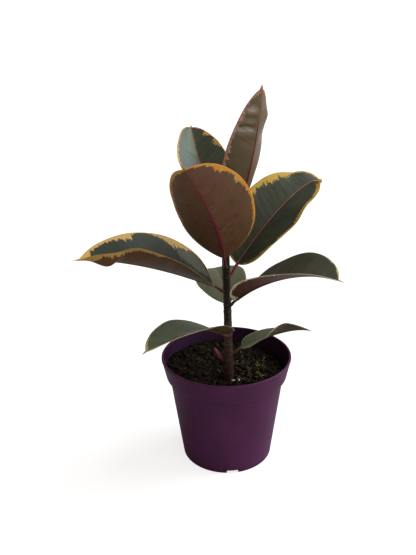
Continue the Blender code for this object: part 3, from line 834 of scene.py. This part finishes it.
def stem_rings():
    """Ring points of the stem: the smoothed path, with swellings, scars and faint ridges."""
    height = np.linspace(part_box("stem")[0].z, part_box("stem")[1].z, STEM_RINGS)
    centre = sum(stem_at(height + shift * MM)[0] for shift in range(-6, 7)) / 13
    nodes = np.concatenate([[leaf["node"] * MM for leaf in LEAVES.values()], OLD_NODES])
    away = (height[:, None] - nodes[None]) / MM
    swell = (0.28 * bells(away, 0, 1.6) - 0.14 * bells(away, 2.2, 0.45)
             - 0.10 * bells(away, -2.6, 0.4))
    turn, tall = ring_turns(STEM_SIDES), height[:, None]
    lumps = (0.10 * np.sin(3 * turn + tall * 40) + 0.06 * np.sin(5 * turn - tall * 95)
             + 0.04 * np.sin(11 * turn + tall * 210))
    reach = (stem_at(height)[1] + swell * MM)[:, None] + BARK_THICKNESS + lumps * MM
    rings = np.stack([centre[:, :1] + reach * np.cos(turn), centre[:, 1:2] + reach * np.sin(turn),
                      np.broadcast_to(tall, reach.shape)], -1)
    # Above zero on each node's scar, below zero in the groove just above it, where shade is
    # painted.
    scar_and_groove_shade = bells(away, 0.8, 0.7) - 0.6 * bells(away, 2.2, 0.6)
    return rings, {"stem_scar_and_groove_shade": np.broadcast_to(scar_and_groove_shade[:, None], reach.shape)}


def stem_skin():
    """Thin bark below, green skin above: brown with vertical cracks and pale breathing pores."""
    made = new_material("young_bark")
    spot, scar_and_groove_shade = own_place(made), fact(made, "stem_scar_and_groove_shade")
    tall, flat = stretched(spot, 1, 1, 0.18), stretched(spot, 0.25, 0.25, 1)
    cracks = noise(tall, 0.8 * MM, 4.0, 0.6)
    rings = noise(flat, 1.3 * MM, 3.0, 0.6)
    brown = blend(ramp(cracks, 0.38, 0.66), "#29170f", "#563928")
    brown = paint(brown, "#462b1f", ramp(rings, 0.5, 0.68), 0.5)
    green = blend(ramp(cracks, 0.35, 0.7), "#17120d", "#2b2417")
    green = paint(green, "#301e16", ramp(rings, 0.5, 0.7), 0.4)
    border = maths("MULTIPLY_ADD", noise(tall, 2.5 * MM), 0.03, parts(spot)[2])
    colour = blend(ramp(border, *BARK_TOP), brown, green)
    pores = node("TexVoronoi", Vector=stretched(spot, 1, 1, 0.55), Scale=1 / (2.6 * MM))
    colour = paint(colour, "#765b46", ramp(pores.outputs["Distance"], 0.2, 0.1), 0.5)
    colour = paint(colour, "#664332", ramp(scar_and_groove_shade, 0.2, 0.9), ramp(cracks, 0.4, 0.6), 0.35)
    # Painted shade in the fine groove just above each node.
    colour = paint(colour, "#180d08", ramp(scar_and_groove_shade, -0.15, -0.5))
    relief = bump(rings, 0.25 * MM, bump(cracks, 0.25 * MM))
    return finish(made, Base_Color=colour, Roughness=scaled(cracks, 0.3, 0.42), Normal=relief,
                  IOR=1.45)


stem_points, stem_facts = stem_rings()
place(skin("stem_bark_skin", stem_points, [stem_skin()], facts=stem_facts), "stem_bark", "stem")

# %% [markdown]
# ## Buds
# A rubber plant wraps each new leaf in a pointed red sheath. One ends the
# stem, hidden among the upper leaves, and a small side shoot stands low on
# the left. A sheath is a spindle with a seam: its radius swells to the middle,
# and a shallow fold winds along it where the sheath is rolled over itself.

# %% Bud sheaths
SHEATH_RINGS, SHEATH_SIDES = 70, 36
SEAM_TURNS = 0.7                        # how far the seam winds round on its way up
SHOOT_NODE, SHOOT_TIP, SHOOT_RADIUS = 108 * MM, np.array([-13.4, -12.0, 132.0]) * MM, 2.3 * MM
BUD_LENGTH, BUD_RADIUS, BUD_NECK = 17 * MM, 2.4 * MM, 0.55


def bud_rings(foot, tip, radius):
    """Ring points of a sheath: a spindle with a narrow neck and a rolled seam.

    The radius is neck * (1 - s) + 2.6 * s * (1 - s) ** 0.8 at a share s along.
    """
    along = np.linspace(0, 1, SHEATH_RINGS)[:, None]
    length = np.linalg.norm(tip - foot)
    axis = (tip - foot) / length
    side = np.cross(axis, [0.0, 1.0, 0.0])
    side /= np.linalg.norm(side)
    other = np.cross(side, axis)
    turn = ring_turns(SHEATH_SIDES)
    swell = np.maximum(BUD_NECK * (1 - along) + 2.6 * along * (1 - along) ** 0.8, 0.03)
    seam = np.mod(turn - 2 * np.pi * SEAM_TURNS * along, 2 * np.pi) - np.pi
    fold = 1 - 0.16 * np.exp(-(seam / 0.22) ** 2)
    fold = fold + 0.05 * np.tanh(seam * 3) * np.exp(-(seam / 0.9) ** 2)
    reach = radius * swell * fold
    centre = foot + (tip - foot) * along + side * 0.035 * length * np.sin(np.pi * along)
    round_it = side * np.cos(turn)[:, None] + other * np.sin(turn)[:, None]
    return centre[:, None] + reach[..., None] * round_it


def sheath_skin(name, deep, light):
    """Red sheath of a fig bud: crimson, paler towards its tip, with fine lengthwise lines."""
    made = new_material(name)
    spot = own_place(made)
    lines = noise(stretched(spot, 1, 1, 0.2), 0.5 * MM, 3.0)
    colour = blend(ramp(lines, 0.4, 0.65), deep, light)
    colour = paint(colour, deep, ramp(noise(spot, 4 * MM), 0.45, 0.7), 0.6)
    return finish(made, Base_Color=colour, Roughness=scaled(lines, 0.2, 0.32), IOR=1.42,
                  Normal=bump(lines, 0.08 * MM), Coat_Weight=0.15, Coat_Roughness=0.25)


SHEATH = sheath_skin("red_bud_sheath", "#4f1019", "#93363f")
shoot_root, shoot_stem_radius = stem_at(SHOOT_NODE)
shoot_lean = (SHOOT_TIP - shoot_root) / np.linalg.norm(SHOOT_TIP - shoot_root)
shoot_start = shoot_stem_radius + GAP + BUD_NECK * SHOOT_RADIUS * shoot_lean[2]
shoot_foot = shoot_root + shoot_lean * shoot_start / np.hypot(*shoot_lean[:2])
shoot = skin("basal_bud_sheath", bud_rings(shoot_foot, SHOOT_TIP, 1.1 * SHOOT_RADIUS), [SHEATH])
place(shoot, "bud_sheath", "basal_bud")
stem_top, stem_below = (np.array(STEM_PATH[k]) * MM for k in (-1, -2))
bud_lean = (stem_top - stem_below) / np.linalg.norm(stem_top - stem_below)
bud_points = bud_rings(stem_top + bud_lean * GAP, stem_top + bud_lean * BUD_LENGTH, BUD_RADIUS)
place(skin("apical_bud_sheath", bud_points, [SHEATH]), "bud_sheath", "apical_bud")

# %% [markdown]
# ## The pot
# A nursery pot is injection moulded in thin plastic: a tapered wall, a wider
# collar that stops the next pot from jamming in the stack, and a rounded lip.
# Seen close, the wall is never quite true. It has faint vertical flow lines
# and a hair of waviness. The ring of points is the wall's section, from the
# foot up the outside, over the lip and down inside, turned round the axis.

# %% Pot surface
POT_HEIGHT, RIM_RADIUS, COLLAR_RADIUS, COLLAR_DEPTH = 118 * MM, 70 * MM, 65.8 * MM, 21.7 * MM
STEP_DEPTH, NECK_RADIUS, BASE_RADIUS, CORNER_RADIUS = 4 * MM, 61.5 * MM, 50 * MM, 5 * MM
POT_WALL, LIP_WIDTH, LIP_HEIGHT = 1.6 * MM, 2.2 * MM, 2.0 * MM
FLOOR_UNDER, FLOOR_TOP, AXIS_HOLE = 1.4 * MM, 2.6 * MM, 0.4 * MM
NOTCH_COUNT, NOTCH_WIDTH, NOTCH_HEIGHT, NOTCH_TURN = 4, 12.5 * MM, 3.4 * MM, math.radians(-85)
NOTCH_ROUNDING, NOTCH_REACH = 1.3 * MM, 8 * MM
POT_SIDES, PROFILE_STEP = 320, 2.5 * MM
COLLAR_FOOT = POT_HEIGHT - COLLAR_DEPTH


def rounded(corners, radii, steps=7):
    """A profile through corners, each rounded to its radius.

    The curve touches both sides at radius / tan(half the corner's angle) from the
    corner, and its points are blended as a quadratic curve between them.
    """
    corners = [np.array(corner) for corner in corners]
    path = [corners[0]]
    for before, corner, after, radius in zip(corners[:-2], corners[1:-1], corners[2:], radii):
        back, ahead = before - corner, after - corner
        back_length, ahead_length = np.linalg.norm(back), np.linalg.norm(ahead)
        angle = math.acos(np.clip(back @ ahead / (back_length * ahead_length), -1, 1))
        reach = min(radius / math.tan(angle / 2), 0.45 * back_length, 0.45 * ahead_length)
        start, end = corner + back / back_length * reach, corner + ahead / ahead_length * reach
        t = np.linspace(0, 1, steps)[:, None]
        path.extend((1 - t) ** 2 * start + 2 * t * (1 - t) * corner + t ** 2 * end)
    return np.array([*path, corners[-1]])


def refine(profile, longest):
    """The same profile with no step longer than the given length."""
    path = [profile[:1]]
    for begin, end in zip(profile[:-1], profile[1:]):
        count = max(1, math.ceil(np.linalg.norm(end - begin) / longest))
        path.append(begin + (end - begin) * (np.arange(1, count + 1) / count)[:, None])
    return np.concatenate(path)


def pot_profile():
    """Radius and height round the wall's section, from the foot's middle and back inside.

    Each row is a corner's radius and height and the radius that it is rounded to.
    """
    inner_lip = RIM_RADIUS - LIP_WIDTH
    rows = [(AXIS_HOLE, FLOOR_UNDER, 0), (BASE_RADIUS - 13 * MM, FLOOR_UNDER, 1),
            (BASE_RADIUS - 10 * MM, 0, 1), (BASE_RADIUS - 0.6 * MM, 0, 0.8),
            (BASE_RADIUS, CORNER_RADIUS, 3), (NECK_RADIUS, COLLAR_FOOT - STEP_DEPTH, 1.5),
            (COLLAR_RADIUS - 0.2 * MM, COLLAR_FOOT, 2.2),
            (RIM_RADIUS - 0.4 * MM, POT_HEIGHT - LIP_HEIGHT - 1.2 * MM, 0.8),
            (RIM_RADIUS + 0.2 * MM, POT_HEIGHT - LIP_HEIGHT, 0.9), (RIM_RADIUS, POT_HEIGHT, 1.0),
            (inner_lip, POT_HEIGHT, 0.9), (inner_lip - 0.2 * MM, POT_HEIGHT - 2.4 * MM, 1),
            (COLLAR_RADIUS - POT_WALL, COLLAR_FOOT + 1 * MM, 1.5),
            (NECK_RADIUS - POT_WALL, COLLAR_FOOT - STEP_DEPTH, 2),
            (BASE_RADIUS - POT_WALL, CORNER_RADIUS + 1 * MM, 1.5),
            (BASE_RADIUS - 3 * MM, FLOOR_TOP, 2), (AXIS_HOLE, FLOOR_TOP, 0)]
    corners = [row[:2] for row in rows]
    return refine(rounded(corners, [row[2] * MM for row in rows[1:-1]]), PROFILE_STEP)


def pot_rings():
    """The profile turned round the axis, with a hair of waviness that grows with height."""
    profile, turn = pot_profile(), ring_turns(POT_SIDES)
    radius, height = profile[:, :1], profile[:, 1:]
    share = height / POT_HEIGHT
    wave = (0.12 * np.sin(3 * turn + 0.4) + 0.07 * np.sin(7 * turn + 6 * share)
            + 0.035 * np.sin(23 * turn))
    radius = radius + wave * MM * np.clip(radius / (30 * MM), 0, 1) * share
    height = np.broadcast_to(height, radius.shape)
    return np.stack([radius * np.cos(turn), radius * np.sin(turn), height], -1)


def cut_notches(pot):
    """Take the drainage notches out of the foot with bars that have rounded shoulders."""
    width, tall = NOTCH_WIDTH / 2, NOTCH_HEIGHT
    corners = [(-width, -tall), (width, -tall), (width, tall), (-width, tall)]
    section = rounded(corners + corners[:2], [NOTCH_ROUNDING] * 4, 6)[1:-1]
    reach = np.array([BASE_RADIUS - NOTCH_REACH, BASE_RADIUS + NOTCH_REACH])
    bars = []
    for number, turn in enumerate(NOTCH_TURN + ring_turns(NOTCH_COUNT)):
        out = np.array([np.cos(turn), np.sin(turn), 0])
        along = np.array([-np.sin(turn), np.cos(turn), 0])
        rings = (out * reach[:, None, None] + along * section[None, :, :1]
                 + np.array([0, 0, 1.0]) * section[None, :, 1:])
        bars.append(skin(f"notch_{number}", rings))
        cut = pot.modifiers.new("notch", "BOOLEAN")
        cut.object, cut.operation, cut.solver = bars[-1], "DIFFERENCE", "EXACT"
    bpy.context.view_layer.update()
    evaluated = pot.evaluated_get(bpy.context.evaluated_depsgraph_get())
    finished = bpy.data.meshes.new_from_object(evaluated)
    pot.modifiers.clear()
    pot.data = finished
    for bar in bars:
        bpy.data.objects.remove(bar)
    finished.shade_smooth()


def pot_plastic():
    """Moulded purple polypropylene: satin, faint flow lines, scuffs, and splashes of dried compost.

    Painted shade darkens the inside, below the lip and above the soil.
    """
    made = new_material("moulded_purple_plastic")
    spot = own_place(made)
    x, y, z = parts(spot)
    flow = noise(stretched(spot, 1, 1, 0.06), 3.0 * MM, 4.0, 0.6)
    cloud = noise(spot, 35 * MM, 3.0)
    colour = blend(ramp(cloud, 0.3, 0.7), "#48163f", "#511a4b")
    colour = paint(colour, "#5c2f58", ramp(flow, 0.35, 0.7), 0.08)
    scuff = noise(stretched(spot, 1, 1, 6, Rotation=(0.3, 0.2, 0)), 9 * MM, 5.0, 0.75)
    wear = times(ramp(scuff, 0.66, 0.74), ramp(noise(spot, 22 * MM), 0.5, 0.62))
    colour = paint(colour, "#7d5578", wear, 0.25)
    dirt_and_shade_grain = noise(spot, 2.4 * MM, 4.0, 0.65)
    ends = maths("ADD", ramp(z, 12 * MM, 1 * MM), ramp(z, 109 * MM, 118.5 * MM))
    soiled = ramp(maths("ADD", dirt_and_shade_grain, scaled(ends, 0.08, -0.06)), 0.63, 0.68)
    colour = paint(colour, "#2c2019", soiled, 0.4)
    radius = maths("SQRT", maths("ADD", times(x, x), times(y, y)))
    middle_of_wall = scaled(z, 0.1935, 46.4 * MM)   # its radius at each height of the collar
    inside = ramp(maths("SUBTRACT", radius, middle_of_wall), 0.2 * MM, -0.6 * MM)
    # Painted shade on the inner wall between the soil and the lip, mottled by the same grain as the
    # dirt.
    inner_wall_shade = times(inside, ramp(z, 96.5 * MM, 98 * MM), ramp(z, 117.6 * MM, 116 * MM), 0.8)
    colour = paint(colour, blend(ramp(dirt_and_shade_grain, 0.35, 0.65), "#180620", "#230b2c"), inner_wall_shade)
    rough = maths("MULTIPLY_ADD", maths("MAXIMUM", soiled, wear), 0.25, scaled(cloud, 0.12, 0.40))
    relief = bump(noise(spot, 0.35 * MM), 0.03 * MM, bump(flow, 0.06 * MM))
    return finish(made, Base_Color=colour, Roughness=rough, IOR=1.49, Specular_IOR_Level=0.27,
                  Normal=bump(soiled, 0.12 * MM, relief))


pot = skin("pot_moulding", pot_rings(), [pot_plastic()])
cut_notches(pot)
place(pot, "purple_plastic", "pot")

# %% [markdown]
# ## The soil
# Peat compost has sunk a little under the rim and slopes down to one side.
# It is all crumbs, so the surface is a fine polar grid lifted by sums of
# many small mounds. Each mound is placed by a random draw and rounded like
# a bell. Round the stem the surface dips.

# %% Soil surface
SOIL_LEVEL, SOIL_TILT_X, SOIL_TILT_Y = 102 * MM, -0.040, 0.012
SOIL_DIP, SOIL_DIP_RADIUS, SOIL_RIPPLE = 5 * MM, 20 * MM, 0.8 * MM
SOIL_RINGS, SOIL_SIDES = 150, 400
SOIL_UNDER = 90 * MM                    # height where the fine piece ends below
STEM_HOLE = 3.5 * MM                    # radius left open round the stem's middle
soil_foot = stem_at(SOIL_LEVEL)[0]


def wall_radius(height):
    """Outer radius of the pot at a height."""
    return np.interp(height, [CORNER_RADIUS, COLLAR_FOOT - STEP_DEPTH, COLLAR_FOOT, POT_HEIGHT],
                     [BASE_RADIUS, NECK_RADIUS, COLLAR_RADIUS, RIM_RADIUS])


def soil_edge(height):
    """Radius at which the soil meets the wall inside."""
    return wall_radius(height) - POT_WALL - GAP


def soil_height(x, y):
    """The plain solid's surface: a tilted level, slow ripples, and a dip round the stem."""
    away = np.hypot(x - soil_foot[0], y - soil_foot[1])
    ripple = np.sin(190 * x + 1.1) * np.sin(160 * y + 0.4) + 0.6 * np.sin(90 * x - 230 * y)
    return (SOIL_LEVEL + SOIL_TILT_X * x + SOIL_TILT_Y * y + SOIL_RIPPLE * ripple
            - SOIL_DIP * np.exp(-(away / SOIL_DIP_RADIUS) ** 2))


def crumbs(x, y, count, size, tall):
    """Height of many bell-shaped mounds, each felt only within its own neighbourhood.

    The mounds are binned on a square lattice, and every point adds up those of the
    nine cells around it: height = tall * exp(-(distance / size) squared).
    """
    cell = 3.2 * size
    lattice = math.ceil(2 * RIM_RADIUS / cell)
    shape = (lattice + 2, lattice + 2, count)
    offset = rng.uniform(0, 1, (2, *shape))
    strength = rng.uniform(-0.4, 1.0, shape)
    breadth = rng.uniform(0.55, 1.3, shape) * size
    column, row = (np.clip(((v + RIM_RADIUS) / cell).astype(int), 0, lattice - 1) for v in (x, y))
    total = np.zeros_like(x)
    for shift_x, shift_y, k in np.ndindex(3, 3, count):
        i, j = column + shift_x, row + shift_y
        centre_x = (i - 1 + offset[0, i, j, k]) * cell - RIM_RADIUS
        centre_y = (j - 1 + offset[1, i, j, k]) * cell - RIM_RADIUS
        away = (x - centre_x) ** 2 + (y - centre_y) ** 2
        total += strength[i, j, k] * np.exp(-away / breadth[i, j, k] ** 2)
    return tall * total


def soil_relief(x, y):
    """Fine soil height: the plain surface plus clods, crumbs and grains."""
    return (soil_height(x, y) + crumbs(x, y, 1, 5.5 * MM, 2.3 * MM)
            + crumbs(x, y, 2, 2.4 * MM, 1.2 * MM) + crumbs(x, y, 2, 1.1 * MM, 0.6 * MM) - 0.9 * MM)


def soil_rings():
    """Rings from the bottom's middle, out and up the wall, then inwards over the top."""
    turn = ring_turns(SOIL_SIDES)
    unit = np.stack([np.cos(turn), np.sin(turn)])
    reach = np.linspace(0, 1, SOIL_RINGS)[::-1, None] ** 0.75
    outer = soil_edge(100 * MM)
    for _ in range(4):                  # the edge's height and radius depend on each other
        outer = soil_edge(soil_height(outer * unit[0], outer * unit[1]))
    radius = STEM_HOLE + (outer - STEM_HOLE)[None] * reach
    x, y = (soil_foot[axis] * (1 - reach) + radius * unit[axis] for axis in (0, 1))
    top = np.stack([x, y, soil_relief(x, y)], -1)
    low = np.array([4 * MM, soil_edge(SOIL_UNDER)])[:, None]
    below = np.stack([low * unit[0], low * unit[1], np.full((2, SOIL_SIDES), SOIL_UNDER)], -1)
    return np.concatenate([below, top, top[-1:] - [0, 0, 4 * MM]])


def peat():
    """Damp peat: near-black brown crumbs, lighter fibres, and painted shade in the gaps between
    crumbs.
    """
    made = new_material("peat_compost")
    spot = own_place(made)
    crumb = node("TexVoronoi", Vector=spot, Scale=1 / (1.7 * MM))
    tint = node("SeparateColor", Color=crumb.outputs["Color"]).outputs[0]
    fine = noise(spot, 0.6 * MM, 4.0, 0.7)
    colour = blend(ramp(tint, 0.35, 0.95), "#0c0906", "#221a11")
    colour = paint(colour, "#292013", ramp(noise(spot, 9 * MM, 3.0), 0.5, 0.7), 0.5)
    colour = paint(colour, "#45371f", ramp(fine, 0.62, 0.74))
    # Painted shade in the gaps between crumbs.
    colour = paint(colour, "#080604", ramp(crumb.outputs["Distance"], 0.55, 0.8), 0.8)
    relief = bump(fine, 0.5 * MM, bump(crumb.outputs["Distance"], -0.9 * MM))
    return finish(made, Base_Color=colour, Roughness=scaled(fine, 0.3, 0.62), Normal=relief,
                  IOR=1.35, Specular_IOR_Level=0.12)


soil = place(skin("soil_crumbs", soil_rings(), [peat()]), "peat_soil", "soil")

# %% [markdown]
# ## What lies in the compost
# A potting mix is peat with other things in it: white perlite that is light
# as foam, slivers of composted bark, clods, and root fibres. All of one kind
# are one mesh, made by copying a rough pebble many times with its own size,
# stretch and turn. Each copy carries a random number that shifts its colour.

# %% Crumbs, chips and perlite
def pebble(rows=6, around=9):
    """Ring points of a lumpy unit ball: radius 1 plus three sine lobes."""
    high = np.linspace(0.12, np.pi - 0.12, rows)[:, None]
    turn = ring_turns(around)[None]
    radius = 1 + 0.16 * np.sin(3 * turn + 2 * high) + 0.12 * np.sin(5 * high + turn)
    radius = radius + 0.1 * np.cos(4 * turn - high)
    flat = radius * np.sin(high)
    return np.stack([flat * np.cos(turn), flat * np.sin(turn), radius * np.cos(high)], -1)


def turn_matrices(yaw, tilt, spin):
    """Rotations about z, then y, then x, one matrix for each copy."""
    (cy, ct, cs), (sy, st, ss) = np.cos([yaw, tilt, spin]), np.sin([yaw, tilt, spin])
    return np.stack([np.stack([cy * ct, cy * st * ss - sy * cs, cy * st * cs + sy * ss], -1),
                     np.stack([sy * ct, sy * st * ss + cy * cs, sy * st * cs - cy * ss], -1),
                     np.stack([-st, ct * ss, ct * cs], -1)], 1)


def nearest_soil(x, y):
    """Height of the finished soil mesh nearest to each place."""
    points = np.empty(len(soil.data.vertices) * 3, np.float32)
    soil.data.vertices.foreach_get("co", points)
    points = points.reshape(-1, 3)
    points = points[points[:, 2] > SOIL_UNDER + 4 * MM]
    nearest = [np.argmin((points[:, 0] - a) ** 2 + (points[:, 1] - b) ** 2) for a, b in zip(x, y)]
    return points[nearest, 2]


def litter(name, first, second, grain_size, relief_depth, rough):
    """A two-tint grainy finish whose tint also differs from copy to copy. Sizes in millimetres."""
    made = new_material(name)
    grain = noise(own_place(made), grain_size * MM, 4.0, 0.65)
    share = maths("ADD", times(fact(made, "copy_tint"), 0.6), times(grain, 0.5))
    return finish(made, Base_Color=blend(ramp(share, 0.2, 0.85), first, second),
                  Roughness=scaled(grain, 0.2, rough), Normal=bump(grain, relief_depth * MM),
                  IOR=1.4, Specular_IOR_Level=0.12)


def scatter(name, slot, coating, count, sizes, stretch, lift, spread=1.0, centre=(0, 0)):
    """One mesh of many pebbles on the soil.

    Each pebble is scaled by its own size and stretch, turned by three random
    angles, and set on the soil plus a share of its height. spread is the share
    of the pot's radius to fill round the centre.
    """
    unit = pebble()
    rows, around = unit.shape[:2]
    size = rng.uniform(*sizes, (count, 1)) * MM
    scale = size * (1 + (np.array(stretch) - 1) * rng.uniform(0.6, 1.2, (count, 3)))
    yaw = rng.uniform(0, 2 * np.pi, count)
    tilt, spin = rng.normal(0, 0.35, (2, count))
    limit = wall_radius(100 * MM) - POT_WALL - sizes[1] * max(stretch) * MM
    away = np.sqrt(rng.uniform(0, 1, count)) * spread * limit
    angle = rng.uniform(0, 2 * np.pi, count)
    x, y = centre[0] * MM + away * np.cos(angle), centre[1] * MM + away * np.sin(angle)
    pull = np.minimum(1, limit / np.maximum(np.hypot(x, y), MM))
    x, y = x * pull, y * pull
    seat = np.stack([x, y, nearest_soil(x, y) + lift * scale[:, 2]], -1)
    copies = unit.reshape(-1, 3)[None] * scale[:, None]
    points = np.einsum("nij,nkj->nki", turn_matrices(yaw, tilt, spin), copies) + seat[:, None]
    ends = np.stack([points[:, :around].mean(1), points[:, -around:].mean(1)], 1)
    points = np.concatenate([points, ends], 1)
    index = np.arange(rows * around).reshape(rows, around)
    after = np.roll(index, -1, 1)
    quads = np.stack([index[:-1], index[1:], after[1:], after[:-1]], -1).reshape(-1, 4)
    one = [*quads, *((rows * around, a, b) for a, b in zip(index[0], after[0])),
           *((rows * around + 1, b, a) for a, b in zip(index[-1], after[-1]))]
    shift = points.shape[1]
    faces = [tuple(int(v) + shift * n for v in face) for n in range(count) for face in one]
    made = mesh_object(name, points.reshape(-1, 3), faces, [coating])
    tints = np.repeat(rng.uniform(0, 1, count), shift).astype(np.float32)
    made.data.attributes.new("copy_tint", "FLOAT", "POINT").data.foreach_set("value", tints)
    return place(made, slot)


# Each row: slot, then the finish, then how many, sizes, stretch, lift, spread and centre.
LITTER = {
    "soil_clods": ("peat_soil", ("peat_clod", "#080605", "#241c11", 0.8, 0.5, 0.7),
                   360, (0.5, 2.8), (1.6, 1.1, 0.7), 0.1),
    "bark_chips": ("bark_chips", ("composted_bark", "#0e0b07", "#43351e", 0.6, 0.4, 0.6),
                   170, (0.5, 1.4), (2.8, 1.3, 0.5), 0.4),
    "root_fibres": ("bark_chips", ("peat_fibre", "#1d160d", "#5c4c2c", 0.5, 0.1, 0.7),
                    260, (0.15, 0.26), (18, 1, 1), 2.0),
    "pale_fibres": ("bark_chips", ("dry_peat_fibre", "#5b4e33", "#a39468", 0.5, 0.1, 0.7),
                    90, (0.16, 0.28), (13, 1, 1), 3.0, 0.42, (24, -2)),
    "perlite_crumbs": ("perlite", ("expanded_perlite", "#8f8a80", "#d6d2c8", 0.5, 0.4, 0.8),
                       18, (0.3, 0.55), (1.2, 1, 0.85), 0.8, 0.8),
    "perlite_by_stem": ("perlite", ("washed_perlite", "#b5b1a8", "#f6f3ec", 0.5, 0.4, 0.8),
                        9, (0.5, 0.95), (1.4, 1, 0.8), 2.2, 0.08, (9, -25)),
}
for name, (slot, recipe, *rest) in LITTER.items():
    scatter(name, slot, litter(*recipe), *rest)

# %% [markdown]
# ## Room and light
# The plant stands on a pale seamless floor. Daylight comes from the right, a
# little from behind and from above, like a tall window. A low, very broad
# light from the front right is the bright wall that the window shines on, and
# the room gives back a warm soft fill. Sun lamps with wide discs stand for
# both, because they light the floor evenly to the horizon. The floor is a
# shade brighter to the eye than to the leaves, which keeps its soft shadow
# faint without lighting the plant from below.

# %% Floor and light
WINDOW = dict(side=106, height=42, spread=50, strength=0.88)    # degrees, and a share of pi
BRIGHT_WALL = dict(side=58, height=12, spread=90, strength=0.50)
ROOM_STRENGTH = 0.30
BACKGROUND_STRENGTH = 1.15              # what the camera sees behind the floor
FLOOR_GLOW = 0.765
FLOOR_REACH, FLOOR_LINES = 40.0, 25     # half the floor's side in metres, grid lines each way


def floor_finish():
    """Matt pale paper with very faint mottling, lifted for the camera alone."""
    made = new_material("pale_paper")
    paper = blend(noise(own_place(made), 60 * MM, 3.0), "#b2b2b1", "#b8b8b8")
    direct = node("LightPath", tree=made.node_tree).outputs["Is Camera Ray"]
    return finish(made, Base_Color=paper, Roughness=0.9, Specular_IOR_Level=0.0,
                  Emission_Color=linear("#fefefe"), Emission_Strength=times(direct, FLOOR_GLOW))


def sun(name, side, height, spread, strength, colour):
    """A sun with a wide disc: side is its turn from the viewer's side towards the right."""
    lamp = bpy.data.lights.new(name, "SUN")
    lamp.energy, lamp.angle = strength * math.pi, math.radians(spread)
    lamp.color = linear(colour)[:3]
    holder = bpy.data.objects.new(name, lamp)
    towards = Vector(direction(height, side - 90))
    holder.matrix_world = towards.to_track_quat("Z", "Y").to_matrix().to_4x4()
    bpy.context.collection.objects.link(holder)


line = np.linspace(-FLOOR_REACH, FLOOR_REACH, FLOOR_LINES)
floor_points = np.stack([*np.meshgrid(line, line), np.zeros((FLOOR_LINES, FLOOR_LINES))], -1)
corner = np.arange(FLOOR_LINES ** 2).reshape(FLOOR_LINES, FLOOR_LINES)
floor_quads = np.stack([corner[:-1, :-1], corner[:-1, 1:], corner[1:, 1:], corner[1:, :-1]], -1)
floor = mesh_object("floor", floor_points.reshape(-1, 3), floor_quads.reshape(-1, 4).tolist(),
                    [floor_finish()])
floor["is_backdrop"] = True
sun("window", **WINDOW, colour="#f7f9ff")
sun("bright_wall", **BRIGHT_WALL, colour="#fbf8f4")

world = bpy.data.worlds.new("studio")
bpy.context.scene.world = world
world.use_nodes = True
sky = world.node_tree
sky.nodes.clear()
room = node("Background", tree=sky, Color=linear("#fff4ea"), Strength=ROOM_STRENGTH)
seen = node("Background", tree=sky, Color=(1, 1, 1, 1), Strength=BACKGROUND_STRENGTH)
ray = node("LightPath", tree=sky).outputs["Is Camera Ray"]
both_lights = node("MixShader", s0=ray, s1=room.outputs[0], s2=seen.outputs[0])
node("OutputWorld", Surface=both_lights.outputs[0])
bpy.context.scene.view_settings.view_transform = "Standard"
print("floor", 2 * FLOOR_REACH, "m wide, two suns and a room")

# %% Size against the solids
visual_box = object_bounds()
sides = (box[1] - box[0] for box in (visual_box, cad_box))
grown = [round((v - c) / MM, 1) for v, c in zip(*sides)]
print("visual box is larger than the solids' by", grown, "mm")
